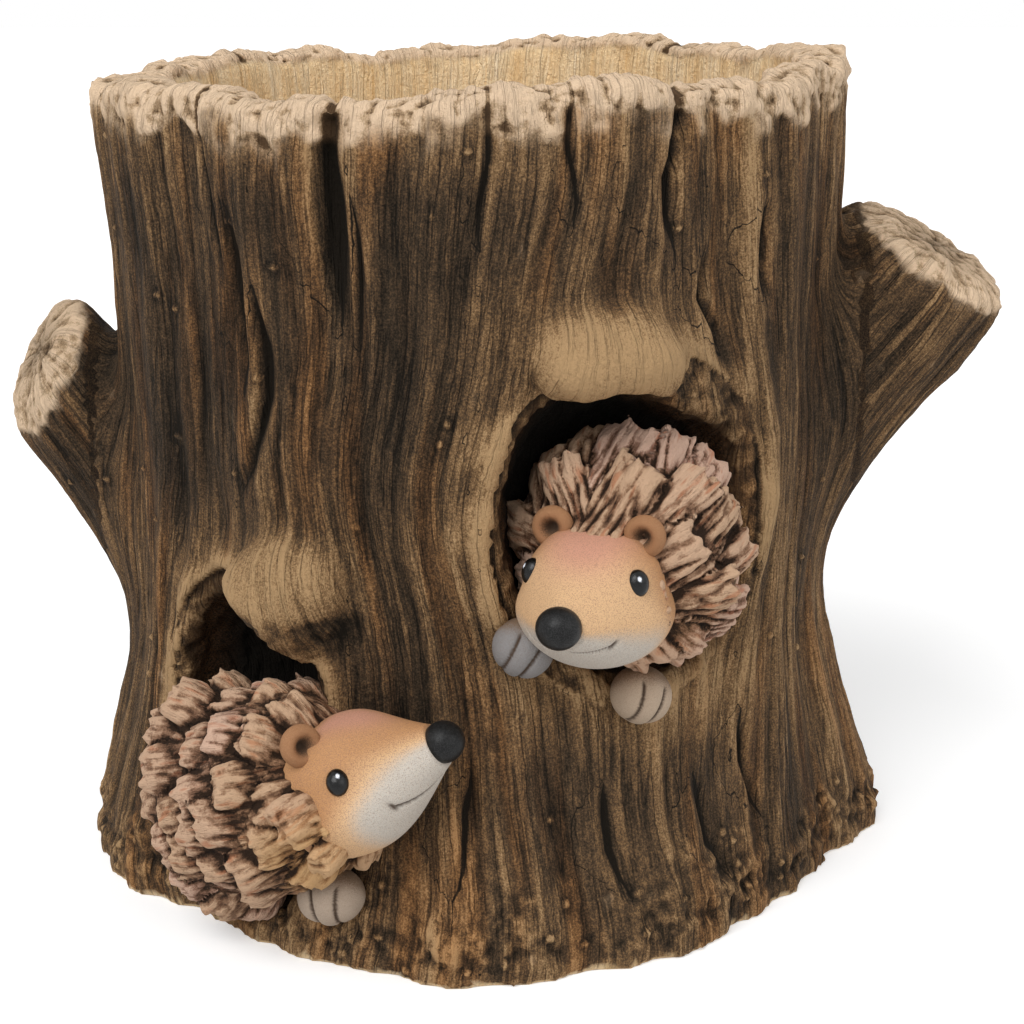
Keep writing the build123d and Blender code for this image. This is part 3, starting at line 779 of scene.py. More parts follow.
def bark_material(paint):
    """Painted bark: dark wash with painted shade in the grooves and cracks, brown body, tan crests, pale
    broken rim and sawn ends, near-black dens with painted shade deepening inward, and spots of painted shade
    and painted highlights.
    """
    material, tree, shader = painted("painted_bark", 0.85, 0.15)
    grain = read(tree, "grain", "Vector")
    hollow = read(tree, "hollow")
    knot = read(tree, "knot")
    speckle = speckled(tree, 0.8)
    specks = speckle["Specks"]
    sand = speckle["Sand"]
    thread = noise(tree, grain, (0.36, 0.36, 7.0), roughness=0.6)
    fibre = noise(tree, grain, (0.9, 0.9, 20.0), roughness=0.6)
    strand = noise(tree, grain, (2.6, 2.6, 46.0), roughness=0.55)
    streak = noise(tree, grain, (8.0, 8.0, 80.0))
    cloud = noise(tree, grain, (20.0, 20.0, 46.0))
    vein = spread(tree, maths(tree, "ABSOLUTE", maths(tree, "SUBTRACT", strand, 0.5)), 0.0, 0.05)

    # Painted shade as well as dark wash: the hollow mark darkens the grooves towards the wash colour.
    level = total(
        tree,
        0.4,
        (thread, 0.5),
        (fibre, 0.4),
        (vein, 0.2),
        (strand, 0.45),
        (streak, 0.45),
        (cloud, 0.6),
        (hollow, -0.7),
        (specks, 0.28),
        (sand, 0.4),
    )
    level = maths(tree, "ADD", level, read(tree, "tone"))
    sanded = total(
        tree,
        0.9,
        (thread, 0.3),
        (strand, 0.2),
        (cloud, 0.4),
        (hollow, -0.7),
        (specks, 0.25),
        (sand, 0.5),
    )
    level = mixed(tree, knot, level, sanded)
    # Painted shade in the cracks: the level drops across each crack's width.
    cut = spread(tree, maths(tree, "ABSOLUTE", read(tree, "crack")), 1.1, 0.45, 0.0, 0.6)
    level = maths(tree, "SUBTRACT", level, cut)
    bark = colours(
        tree,
        level,
        (0.02, paint.wash_and_shade),
        (0.26, paint.shade),
        (0.5, paint.body),
        (0.75, paint.crest),
        (1.0, paint.light),
    )
    warm = noise(tree, grain, (9.0, 9.0, 90.0))
    warmth = maths(tree, "SUBTRACT", spread(tree, warm, 0.46, 0.68, 0.0, 0.8), knot)
    bark = blend(tree, warmth, bark, opaque(paint.warm), "MULTIPLY")

    crumb = total(tree, 0.62, (hollow, -1.7), (specks, 0.3), (sand, 0.7), (cloud, 0.3), (strand, 0.35))
    crumb = maths(tree, "SUBTRACT", crumb, cut)
    broken = colours(tree, crumb, (0.05, paint.rim_shade), (0.5, paint.rim), (0.95, paint.rim_light))
    bark = blend(tree, read(tree, "broken"), bark, broken)

    lines = noise(tree, grain, (1.1, 1.1, 42.0), 3.0, 0.6)
    band = noise(tree, grain, (9.0, 9.0, 50.0))
    wall = total(tree, 0.5, (lines, 0.8), (band, 1.1), (sand, 0.3))
    wall = colours(tree, wall, (0.15, paint.inside_shade), (0.5, paint.inside), (0.9, paint.inside_light))
    bark = blend(tree, read(tree, "inside"), bark, wall)
    rust = blend(tree, specks, opaque(paint.rust), opaque(paint.wash_and_shade))
    bark = blend(tree, read(tree, "rust"), bark, rust)
    # Painted shade as well as dark paint: the dens turn near-black with depth.
    bark = blend(tree, read(tree, "den"), bark, opaque(paint.den))
    tree.links.new(bark, shader.inputs["Base Color"])

    fine = total(tree, 0.5, (thread, 0.5), (fibre, 0.8), (vein, 0.35), (sand, 0.8))
    bumped(tree, shader, fine, 1.3)
    return material


def coat_material(paint):
    """Painted quills: dark wash and painted shade between the tufts, painted shade on one side of each coat,
    mauve, tan and rusty crests, ochre tufts by the face.
    """
    material, tree, shader = painted("painted_quills", 0.85, 0.15)
    speckle = speckled(tree, 1.0)
    quill = read(tree, "strand", "Vector")
    strand = noise(tree, quill, (0.8, 5.5, 1.0), 3.0, 0.65)
    rusty = noise(tree, quill, (1.6, 8.0, 1.0))
    tone = read(tree, "tone")
    # Painted shade as well as dark wash: the hollow mark darkens the gaps between the tufts.
    level = total(
        tree,
        0.57,
        (read(tree, "hollow"), -1.7),
        (strand, 1.2),
        (speckle["Sand"], 0.9),
        (speckle["Specks"], 0.1),
        (tone, 0.12),
        (read(tree, "tip"), 0.3),
        (read(tree, "shaded"), -0.24),
    )
    dark = (0.1, paint.wash_and_shade), (0.36, paint.shade)
    pinkish = colours(tree, level, *dark, (0.62, paint.mauve), (0.95, paint.pink))
    tan = colours(tree, level, *dark, (0.62, paint.tan), (0.95, paint.light))
    ochre = colours(tree, level, (0.05, paint.wash_and_shade), (0.5, paint.ochre), (0.95, paint.ochre_light))
    coat = blend(tree, spread(tree, tone, 0.2, 0.7), tan, pinkish)
    coat = blend(tree, spread(tree, rusty, 0.55, 0.7, 0.0, 0.75), coat, opaque(paint.rusty), "MULTIPLY")
    coat = blend(tree, read(tree, "ochre"), coat, ochre)
    tree.links.new(coat, shader.inputs["Base Color"])
    bumped(tree, shader, total(tree, 0.5, (strand, 1.2), (speckle["Sand"], 0.9)), 1.0)
    return material


def face_material(paint):
    """Sprayed paint: orange tan at the coat, pink on the brow, grey white on the chin, with fine specks."""
    material, tree, shader = painted("sprayed_face", 0.65, 0.3)
    speckle = speckled(tree, 1.5)
    specks = speckle["Specks"]
    sprayed = total(tree, 0.0, (specks, 0.5))
    edge = maths(tree, "ADD", read(tree, "edge"), sprayed)
    chin = maths(tree, "ADD", read(tree, "chin"), sprayed)
    face = blend(tree, edge, opaque(paint.tan), opaque(paint.orange))
    face = blend(tree, read(tree, "brow"), face, opaque(paint.pink))
    face = blend(tree, chin, face, opaque(paint.chin))
    face = blend(tree, spread(tree, specks, 0.55, 1.0, 0.0, 0.5), face, opaque(paint.orange), "MULTIPLY")
    face = blend(tree, read(tree, "line"), face, opaque(paint.line))
    tree.links.new(face, shader.inputs["Base Color"])
    bumped(tree, shader, speckle["Sand"], 0.3)
    return material


def ear_material(paint):
    """Ears: orange tan with brown painted shade in the dish and light paint on the rim."""
    material, tree, shader = painted("painted_ear", 0.75, 0.25)
    speckle = speckled(tree, 2.0)
    level = maths(tree, "ADD", read(tree, "hollow"), total(tree, 0.0, (speckle["Specks"], 0.25)))
    ear = blend(tree, spread(tree, level, 0.5, 0.9), opaque(paint.ear), opaque(paint.line))
    ear = blend(tree, spread(tree, level, 0.42, 0.12), ear, opaque(paint.ear_light))
    tree.links.new(ear, shader.inputs["Base Color"])
    bumped(tree, shader, speckle["Sand"], 0.3)
    return material


def paw_material(paint):
    """Paws: grey or beige toes, brown towards the back, dark lines between the toes."""
    material, tree, shader = painted("painted_paw", 0.72, 0.25)
    speckle = speckled(tree, 1.5)
    paw = blend(tree, read(tree, "cool"), opaque(paint.paw), opaque(paint.paw_cool))
    ragged = maths(tree, "ADD", read(tree, "back"), total(tree, 0.0, (speckle["Specks"], 0.5)))
    paw = blend(tree, ragged, paw, opaque(paint.paw_back))
    paw = blend(tree, read(tree, "line"), paw, opaque(paint.line))
    tree.links.new(paw, shader.inputs["Base Color"])
    bumped(tree, shader, speckle["Sand"], 0.35)
    return material


def gloss_material(name, paint, roughness, specular, dust):
    """Black paint with some dust on it, and a painted glint where the mesh marks one."""
    material, tree, shader = painted(name, roughness, specular)
    speckle = speckled(tree, 1.4)
    dusted = blend(tree, spread(tree, speckle["Specks"], 0.4, 1.0, 0.0, dust), opaque(paint), DUST)
    tree.links.new(blend(tree, read(tree, "glint"), dusted, GLINT), shader.inputs["Base Color"])
    worn = spread(tree, speckle["Sand"], 0.3, 0.7, 0.8 * roughness, 1.3 * roughness)
    tree.links.new(worn, shader.inputs["Roughness"])
    bumped(tree, shader, speckle["Sand"], 0.1)
    return material


# Bark


def round_trunk(points):
    """Angle from the front in degrees, height, and distance from the trunk's axis."""
    x, y, z = points.T
    return np.degrees(np.arctan2(x, -y)), z, np.hypot(x, y)


def turn_between(angle, centre):
    """The turn from a centre to each angle, from -180 to 180."""
    return (angle - centre + 180) % 360 - 180


def oval_reach(points, spot):
    """How far round a spot on the bark each point lies: 1 on the oval of its half sizes."""
    angle, height, _ = round_trunk(points)
    across = TRUNK_RADIUS * np.radians(turn_between(angle, spot[0]))
    return np.hypot(across / spot[2], (height - spot[1]) / spot[3])


def spots_total(points, spots):
    """The sum of soft oval spots on the bark; each spot's strength stands last in it."""
    return sum(spot[4] * bell(oval_reach(points, spot), 1.0) for spot in spots)


def grain_places(points):
    """Each point's place on a straight-grained trunk, so that the grain wanders and bends round the dens."""
    angle, height, _ = round_trunk(points)
    phase = 360 * height / WANDER_HEIGHT + WANDER_TURN_SHARE * angle
    line = angle - WANDER_TURN * np.sin(np.radians(phase))
    for den_angle, den_height, half_width, half_height, _ in (UPPER_DEN, LOWER_DEN):
        across = turn_between(angle, den_angle)
        turn_spread = math.degrees(half_width / TRUNK_RADIUS)
        fade = bell(across, math.sqrt(2) * turn_spread)
        fade = fade * bell(height - den_height, math.sqrt(2) * half_height)
        line = line - BEND_SHARE * across * fade
    sway = GRAIN_SWAY * soft_noise(points / np.array(SWAY_SIZE), SEED)
    turn = np.radians(line) + sway / TRUNK_RADIUS
    return np.column_stack((TRUNK_RADIUS * np.sin(turn), -TRUNK_RADIUS * np.cos(turn), height))


def stub_places(points, stub):
    """Grain places along a branch stub, the share of each point that belongs to it, and its sawn end."""
    root, tip, radius, end_way = (np.array(part) for part in stub)
    axes = facing((tip - root) / np.linalg.norm(tip - root))
    local = (points - root) @ axes.T
    turn = np.arctan2(local[:, 1], local[:, 0])
    away = np.hypot(local[:, 0], local[:, 1])
    side = np.sign(root[0])
    grain = np.column_stack((radius * np.cos(turn), radius * np.sin(turn), local[:, 2]))
    near = ramp(away, radius + STUB_MARGIN, radius + STUB_MARGIN / 3)
    own = near * ramp(side * points[:, 0], STUB_START, STUB_FULL)
    end_way = end_way / np.linalg.norm(end_way)
    sawn = own * ramp((points - tip) @ end_way, -SAWN_BAND, -SAWN_FULL)
    return grain + side * STUB_GRAIN_SHIFT, own, sawn


def stub_joints(points):
    """How much to smooth each point where a stub leaves the trunk, and round its sawn end."""
    joints = np.zeros(len(points))
    for stub in (LEFT_STUB, RIGHT_STUB):
        root = np.array(stub[0])
        way = np.array(stub[1]) - root
        way = way / np.linalg.norm(way)
        along = (points - root) @ way
        away = np.linalg.norm(points - root - np.outer(along, way), axis=1)
        near = ramp(away, *(stub[2] + reach for reach in STUB_JOINT_REACH)) * ramp(along, *STUB_JOINT_LENGTH)
        joints = np.maximum(joints, np.maximum(near, END_ROUNDING * stub_places(points, stub)[2]))
    return joints


def bark_relief(grain, bark):
    """Ribs, strands and fibres along the grain, in millimetres out of the surface."""
    swell = soft_noise(grain / np.array(SWELL_SIZES), SEED + 1)
    ribs = creased(grain, RIB_SIZES, SEED + 2)
    strands = creased(grain, STRAND_SIZES, SEED + 3)
    fibres = soft_noise(grain / np.array(FIBRE_SIZES), SEED + 4)
    relief = bark.swell_depth * swell + bark.rib_depth * (ribs - RIDGE_MEAN)
    relief += bark.strand_depth * (strands - STRAND_MEAN) + bark.fibre_depth * fibres
    return relief / MM


def crack_gaps(points):
    """How deep the cracks cut at each point, and the signed way across the nearest one in its widths."""
    angle, height, _ = round_trunk(points)
    wander = CRACK_WANDER * soft_noise(points / np.array(CRACK_WANDER_SIZE), SEED + 12)
    deepest = np.zeros(len(points))
    nearest = np.full(len(points), FAR_CRACK)
    for route, depth, width in CRACKS:
        turns, levels = np.array(route)[::-1].T
        turn = turn_between(angle, np.interp(height, levels, turns))
        across = TRUNK_RADIUS * np.radians(turn) + wander
        share = (height - levels[0]) / (levels[-1] - levels[0])
        opening = ramp(share, 0.0, CRACK_OPEN_SHARE)
        if levels[-1] < RIM_CRACK_HEIGHT:
            opening = opening * ramp(share, 1.0, CRACK_CLOSING_SHARE)
        deepest = np.maximum(deepest, depth * opening * bell(across, CRACK_SOFTNESS + width))
        widths = across / (width * np.maximum(opening, CRACK_LEAST_OPENING))
        widths = np.clip(widths, -FAR_CRACK, FAR_CRACK)
        nearest = np.where(np.abs(widths) < np.abs(nearest), widths, nearest)
    return deepest, nearest


def crumbled(points):
    """Broken lumps of three sizes, from about -1 to 1."""
    lumps = np.zeros(len(points))
    for sizes, weight, step in LUMPS:
        lumps += weight * soft_noise(points / np.array(sizes), SEED + step)
    return lumps


def bead_gaps(points, share, count):
    """The distance to the nearest of some beads that are scattered where the share is high."""
    draws = np.random.default_rng(SEED)
    gaps = np.full(len(points), np.inf)
    for spot in draws.choice(np.flatnonzero(share > BEAD_GROUND), count, replace=False):
        gaps = np.minimum(gaps, np.linalg.norm(points - points[spot], axis=1))
    return gaps


def rim_heights(points):
    """The height of the rim at each point's angle."""
    angle, height, _ = round_trunk(points)
    bins = ((angle + 180) / 360 * RIM_BIN_COUNT).astype(int) % RIM_BIN_COUNT
    tops = np.zeros(RIM_BIN_COUNT)
    np.maximum.at(tops, bins, height)
    middles = (np.arange(RIM_BIN_COUNT) + 0.5) * 360 / RIM_BIN_COUNT - 180
    return np.interp(angle, middles, tops, period=360)


def in_den(points):
    """1 in the hollow of a den or of a pocket behind it, and 0 elsewhere."""
    found = np.zeros(len(points))
    _, _, radius = round_trunk(points)
    for angle, height, half_width, half_height, depth in (UPPER_DEN, LOWER_DEN):
        way = bearing(angle, 0)
        local = (points - way * TRUNK_RADIUS - UP * height) @ facing(way).T
        sizes = DEN_WALL_SHARE * np.array((half_width, half_height, depth))
        found = np.maximum(found, ramp(np.linalg.norm(local / sizes, axis=1), 1.0, DEN_EDGE_SHARE))
    for node, half_width, half_height in BODY_POCKETS:
        local = (points - middle(node)) / (half_width, half_width, half_height)
        found = np.maximum(found, ramp(np.linalg.norm(local, axis=1), 1.0, DEN_EDGE_SHARE))
    return found * (radius < TRUNK_RADIUS)


def knots_and_lips(points, hidden):
    """Shares of the knots, the pale and the raised lips of the dens, and the lower knot's underside."""
    lower_knot = oval_reach(points, LOWER_KNOT)
    reach = np.minimum(oval_reach(points, UPPER_KNOT), lower_knot)
    knot = ramp(reach + rag(points, KNOT_RAG), *KNOT_EDGE) * (1 - hidden)
    knot = knot * (1 - LOWER_KNOT_DULL * ramp(lower_knot, *LOWER_KNOT_EDGE))
    upper_gap = oval_reach(points, UPPER_DEN) - LIP_PLACE_SHARE
    lower_lip = bell(oval_reach(points, LOWER_DEN) - LIP_PLACE_SHARE, LIP_WIDTH_SHARE)
    pale = bell(upper_gap, UPPER_PALE_SHARE * LIP_WIDTH_SHARE) + lower_lip
    pale = pale * (1 - hidden) * np.clip(LIP_MEAN + rag(points, PALE_RAG), 0, 1)
    lip = np.minimum(bell(upper_gap, LIP_WIDTH_SHARE) + lower_lip, 1)
    lip = lip * (1 - hidden) * np.clip(LIP_MEAN + rag(points, LIP_RAG), 0, 1)
    knob = ramp(points[:, 2], LOWER_KNOT[1] - KNOB_TOP, LOWER_KNOT[1] - KNOB_FULL)
    return knot, pale, lip, ramp(lower_knot, *KNOB_EDGE) * knob


def carve_bark(mesh, bark):
    """Carves an even mesh of the trunk and its stubs, and marks what its paint needs."""
    points = points_of(mesh)
    normals = normals_of(mesh)
    _, height, radius = round_trunk(points)
    outward = points[:, :2] / np.maximum(radius, 1)[:, None]
    facing_out = np.einsum("ij,ij->i", normals, np.column_stack((outward, np.zeros(len(points)))))

    hidden = in_den(points) * np.where(radius < HOUSING_RADIUS, ramp(facing_out, *HOUSING_FACING), 1)
    cavity = (radius < INSIDE_RADIUS) * (1 - hidden) * (height > UNDERSIDE)
    below_rim = rim_heights(points) - height
    inside = cavity * ramp(facing_out, *WALL_FACING) * ramp(below_rim, *WALL_TOP)
    broken = ramp(below_rim + rag(points, RIM_RAG), RIM_BAND, RIM_FULL_SHARE * RIM_BAND)
    under = ramp(height, 2 * UNDERSIDE, UNDERSIDE) * (normals[:, 2] < DOWNWARD)
    under = np.maximum(under, (radius < DRAIN_REACH) * (height < FLOOR_HEIGHT))

    grain = grain_places(points)
    relief = bark_relief(grain, bark)
    ends = np.zeros(len(points))
    for stub in (LEFT_STUB, RIGHT_STUB):
        stub_grain, own, sawn = stub_places(points, stub)
        relief = relief * (1 - own) + own * bark_relief(stub_grain, bark)
        grain = np.where(own[:, None] > 0.5, stub_grain, grain)
        ends = np.maximum(ends, ramp(sawn + rag(points, END_RAG), *END_EDGE))
    cracks, across_crack = crack_gaps(points)
    knot, pale, lip, knob = knots_and_lips(points, hidden)

    lumps = crumbled(points)
    foot = ramp(height + rag(points, FOOT_RAG), FOOT_BAND, FOOT_FULL) * (1 - inside)
    foot_crumbs = FOOT_CRUMBS * foot * ramp(height, *FOOT_CRUMB_RISE)
    rough = np.maximum(broken, BARK_CRUMBS)
    for crumbs in (END_CRUMBS * ends, foot_crumbs, KNOB_CRUMBS * knob, LIP_CRUMBS * lip):
        rough = np.maximum(rough, crumbs)
    broken = np.maximum(broken, ends)
    outer = (1 - inside) * (1 - under) * (1 - hidden)
    bead_gap = bead_gaps(points, outer * (1 - broken) * (1 - knot), BARK_BEAD_COUNT)
    foot_gap = bead_gaps(points, outer * (foot > FOOT_BEAD_GROUND), FOOT_BEAD_COUNT)
    bead_gap = np.minimum(bead_gap, foot_gap)
    bead = ramp(bead_gap, BARK_BEAD_RADIUS, BEAD_TOP_SHARE * BARK_BEAD_RADIUS)

    carved = relief * (1 - KNOT_CALM * knot) * (1 - BROKEN_CALM * np.maximum(broken, foot))
    carved -= cracks * (1 - CRACK_CALM * broken)
    carved += bark.crumb_depth / MM * lumps * rough + LIP_RAISE * lip + BARK_BEAD_HEIGHT * bead
    wall_lines = WALL_LINE_DEPTH * soft_noise(grain / np.array(WALL_LINE_SIZES), SEED + 11)
    moved = outer * carved + inside * wall_lines + DEN_CRUMB_DEPTH * hidden * lumps
    points = points + normals * moved[:, None]
    points[:, 2] = np.maximum(points[:, 2], 0)
    set_points(mesh, points)

    # The tone holds painted shade and painted highlights, from the spots and the beads, beside the paint's
    # own tone.
    tone = spots_total(points, PAINTED_LIGHT_AND_TONE_SPOTS)
    tone += RIM_TONE * ramp(below_rim, RIM_TONE_REACH, RIM_TONE_FULL)
    tone += KNOB_TONE * knob + PALE_TONE * pale + FOOT_TONE * foot + BEAD_PAINTED_HIGHLIGHT * bead
    tone += BEAD_RING_PAINTED_SHADE * bell(bead_gap - BEAD_RING_SHARE * BARK_BEAD_RADIUS, BEAD_RING_WIDTH)
    depth = TRUNK_RADIUS - radius
    mark_hollows(mesh, BARK_HOLLOWS)
    mark(mesh, "grain", grain)
    mark(mesh, "tone", tone)
    mark(mesh, "crack", np.where(outer > 0.5, across_crack, FAR_CRACK))
    mark(mesh, "knot", np.maximum(knot * (1 - knob), LIP_KNOT_SHARE * lip))
    mark(mesh, "broken", broken * (1 - inside))
    mark(mesh, "inside", np.maximum(inside, UNDERSIDE_PALE_SHARE * under))
    # Painted shade as well as dark paint: the den mark grows with depth into each den.
    mark(mesh, "den", hidden * ramp(depth, RUST_DEPTH, DEN_DEPTH))
    mark(mesh, "rust", hidden * ramp(depth, 0.0, RUST_DEPTH))


def split_stubs(mesh):
    """The meshes of the trunk, the left stub and the right stub, cut apart at the seats and closed there."""
    whole = bmesh.new()
    whole.from_mesh(mesh)
    for side in (-1, 1):
        bmesh.ops.bisect_plane(
            whole,
            geom=whole.verts[:] + whole.edges[:] + whole.faces[:],
            dist=CUT_CLOSENESS * MM,
            plane_co=(side * STUB_SEAT * MM, 0, 0),
            plane_no=(side, 0, 0),
        )
    whole.faces.index_update()
    owners = np.zeros(len(whole.faces), int)
    for owner, stub in enumerate((LEFT_STUB, RIGHT_STUB), 1):
        side = math.copysign(1, stub[1][0])
        tip = Vector(stub[1]) * MM
        waiting = [min(whole.faces, key=lambda face: (face.calc_center_median() - tip).length)]
        owners[waiting[0].index] = owner
        while waiting:
            for edge in waiting.pop().edges:
                for face in edge.link_faces:
                    beyond = side * face.calc_center_median().x > STUB_SEAT * MM
                    if beyond and owners[face.index] == 0:
                        owners[face.index] = owner
                        waiting.append(face)
    made = []
    for owner in range(3):
        part = whole.copy()
        part.faces.ensure_lookup_table()
        others = [face for face in part.faces if owners[face.index] != owner]
        bmesh.ops.delete(part, geom=others, context="FACES")
        seat = [edge for edge in part.edges if edge.is_boundary]
        for edge in seat:
            edge.smooth = False
        bmesh.ops.holes_fill(part, edges=seat)
        made.append(bpy.data.meshes.new("bark"))
        part.to_mesh(made[-1])
        part.free()
    whole.free()
    bpy.data.meshes.remove(mesh)
    return made


# Hedgehogs


class Hedgehog(NamedTuple):
    """Where a hedgehog's body and head lie, how its tufts grow, and its features."""

    name: str
    # The body: its shift from the middle of the coat's node, half sizes, and turn and rise to the neck
    shift: tuple
    half_sizes: tuple
    neck: tuple
    # Turn and rise of the face; the neck ball's share of the way to the head, and its radius
    face: tuple
    neck_ball: tuple
    # Tufts: size, length, lift in degrees, width at the tip, depth of grooves, and how round they are
    tuft_scale: float
    length_share: float
    tuft_lift: float
    tip_share: float
    groove_depth: float
    roundness: float
    # Paint of the coat: share of pink tufts, the way to its side of painted shade, the least of that shade,
    # and ochre by the face
    pinkness: float
    dark_side: tuple
    dark_floor: float
    ochre: float
    # Paint of the face: slope of the orange edge, spread of the pink brow, slope and levels of the chin
    edge_slope: float
    brow_spread: float
    chin: tuple
    # Back end and turn of the mouth's corner; how far the beads round the face stand back
    mouth: tuple
    bead_back: float
    # Ears; eyes with their sides; paws with turn, roll, width and share of grey
    ear_facing: tuple
    ears: tuple
    eyes: tuple
    paws: tuple
    seed: int


UPPER = Hedgehog(
    name="upper_hedgehog",
    shift=(-1.5, 0.0, 1.0),
    half_sizes=(26.5, 27.0, 22.5),
    neck=(-26.0, -12.0),
    face=(-21.0, 4.0),
    neck_ball=(0.55, 18.5),
    tuft_scale=1.0,
    length_share=0.92,
    tuft_lift=23.0,
    tip_share=1.0,
    groove_depth=0.9,
    pinkness=1.0,
    roundness=0.7,
    dark_side=(0.9, 0.0, -0.45),
    dark_floor=0.0,
    ochre=0.3,
    edge_slope=8.0,
    brow_spread=0.62,
    chin=(0.0, -0.05, -0.62),
    mouth=(16.0, -30.0),
    bead_back=-1.5,
    ear_facing=(-21.0, 4.0),
    ears=("left_ear", "right_ear"),
    eyes=(("left_eye", -1), ("right_eye", 1)),
    paws=(("left_paw", -2.0, -30.0, 1.0, 1.0), ("right_paw", 20.0, -20.0, 1.0, 0.1)),
    seed=21,
)
LOWER = Hedgehog(
    name="lower_hedgehog",
    shift=(1.5, 0.0, -3.0),
    half_sizes=(20.0, 28.5, 20.5),
    neck=(56.0, 14.0),
    face=(75.0, 33.0),
    neck_ball=(0.42, 25.0),
    tuft_scale=0.9,
    length_share=0.8,
    tuft_lift=25.0,
    tip_share=0.85,
    groove_depth=0.5,
    pinkness=0.65,
    roundness=0.85,
    dark_side=(0.7, 0.0, 0.5),
    dark_floor=0.95,
    ochre=0.9,
    edge_slope=26.0,
    brow_spread=0.4,
    chin=(0.035, 0.12, -0.42),
    mouth=(12.0, -27.0),
    bead_back=4.0,
    ear_facing=(32.0, 12.0),
    ears=("ear",),
    eyes=(("eye", -1),),
    paws=(("paw", -12.0, 6.0, 1.12, 0.3),),
    seed=33,
)
HEDGEHOGS = (UPPER, LOWER)


def head_place(hedgehog):
    """The middle of a head's widest ring, and the head's side, up and forward axes."""
    axes = facing(bearing(*hedgehog.face))
    nose = middle(hedgehog.name + "_nose")
    return nose - axes[2] * (SNOUT_LENGTH + NOSE_AHEAD) + axes[1] * SNOUT_DROOP, axes


def head_girth(along):
    """The share of the head's girth at a distance in front of its widest ring."""
    front = np.clip(along / SNOUT_LENGTH, 0, 1)
    back = np.clip(-along / NAPE_LENGTH, 0, 1)
    taper = SNOUT_TIP_SHARE + (1 - SNOUT_TIP_SHARE) * np.cos(front * math.pi / 2) ** SNOUT_TAPER_POWER
    return np.where(along > 0, taper, 1 - NAPE_DRAW_SHARE * back**2)


def brow_share(level):
    """How the head narrows from its cheeks up to its brow, at a share of its half height."""
    return 1 - BROW_NARROW_SHARE * ramp(level, *BROW_LEVELS)


def base_shells(hedgehog):
    """The body, neck and nape that a coat's tufts stand on."""
    centre = middle(hedgehog.name + "_coat") + hedgehog.shift
    axes = facing(bearing(*hedgehog.neck))
    head, head_axes = head_place(hedgehog)
    share, ball = hedgehog.neck_ball
    nape_sizes = np.array((HEAD_HALF_WIDTH, HEAD_HALF_HEIGHT, NAPE_LENGTH)) - NAPE_INSET
    nape = globe(*NAPE_GRID) * nape_sizes - UP * NAPE_BACK
    return [
        centre + (globe(*BODY_GRID) * hedgehog.half_sizes) @ axes,
        centre * (1 - share) + head * share + globe(*NECK_GRID) * ball,
        head + nape @ head_axes,
    ]


def shell_mesh(shells):
    """One mesh of closed shells."""
    points = []
    faces = []
    start = 0
    for shell in shells:
        own_points, own_faces = loft(shell)
        points.append(own_points)
        faces += [tuple(start + index for index in face) for face in own_faces]
        start += len(own_points)
    return mesh_of("shells", np.concatenate(points), faces)


def quill_roots(hedgehog, spacing):
    """Where tufts stand: roots about a spacing apart, with the ways out of the coat and back along it."""
    draws = np.random.default_rng(hedgehog.seed)
    base = fused(shell_mesh(base_shells(hedgehog)), COAT_BASE_GRID)
    points = points_of(base)
    outs = normals_of(base)
    bpy.data.meshes.remove(base)
    head, head_axes = head_place(hedgehog)
    local = (points - head) @ head_axes.T
    girth = np.hypot(local[:, 0] / HEAD_HALF_WIDTH, local[:, 1] / HEAD_HALF_HEIGHT)
    on_face = (local[:, 2] > -FACE_TUFT_BACK) & (girth < FACE_TUFT_GIRTH)
    _, height, radius = round_trunk(points)
    shown = ~on_face & (radius > COAT_SHOWN_RADIUS) & (height > COAT_SHOWN_HEIGHT)
    for ear in hedgehog.ears:
        shown &= np.linalg.norm(points - middle(hedgehog.name + "_" + ear), axis=1) > EAR_CLEARANCE
    for paw in hedgehog.paws:
        shown &= np.linalg.norm(points - middle(hedgehog.name + "_" + paw[0]), axis=1) > PAW_CLEARANCE
    roots = []
    for index in draws.permutation(np.flatnonzero(shown)):
        if not roots or np.linalg.norm(points[roots] - points[index], axis=1).min() > spacing:
            roots.append(index)
    flow = points[roots] - head - head_axes[2] * FLOW_AHEAD
    outs = outs[roots]
    flow -= outs * np.einsum("ij,ij->i", flow, outs)[:, None]
    return points[roots], outs, flow / np.linalg.norm(flow, axis=1)[:, None]


def signed_power(values, power):
    """Values to a power, with their signs kept."""
    return np.sign(values) * np.abs(values) ** power


def tuft_rings(hedgehog, size, frame_ways, draws):
    """Rings of one tuft, a blunt wedge with a ragged end, and each point's share of the way to that end."""
    tuft_length, width = size
    root, out, way, side = frame_ways
    thick = np.cross(way, side)
    ring_count, column_count = TUFT_GRID
    steps = np.linspace(0, 1, ring_count)[:, None]
    turns = np.linspace(0, 2 * math.pi, column_count, endpoint=False)[None]
    across = signed_power(np.cos(turns), hedgehog.roundness)
    above = signed_power(np.sin(turns), hedgehog.roundness)
    ragged = np.zeros_like(turns)
    for waves in RAG_WAVES:
        ragged += draws.uniform(*RAG_STRENGTHS) * np.sin(waves * across + draws.uniform(0, 2 * math.pi))
    reach = (steps - TUFT_START_SHARE + RAG_SHARE * ragged * steps**2) * tuft_length
    places, breadths = TUFT_BREADTHS
    broad = np.interp(steps, places, (*breadths, hedgehog.tip_share)) * across * width / 2
    deep = np.interp(steps, *TUFT_DEPTHS) * above * (1 - TUFT_EDGE_THINNING * across**2)
    deep = deep * TUFT_HALF_THICKNESS
    sink = TUFT_SINK + TUFT_CURL_SHARE * tuft_length * steps**2
    rings = reach[..., None] * way + broad[..., None] * side + deep[..., None] * thick
    return root + rings - (sink * np.ones_like(turns))[..., None] * out, steps * np.ones_like(turns)


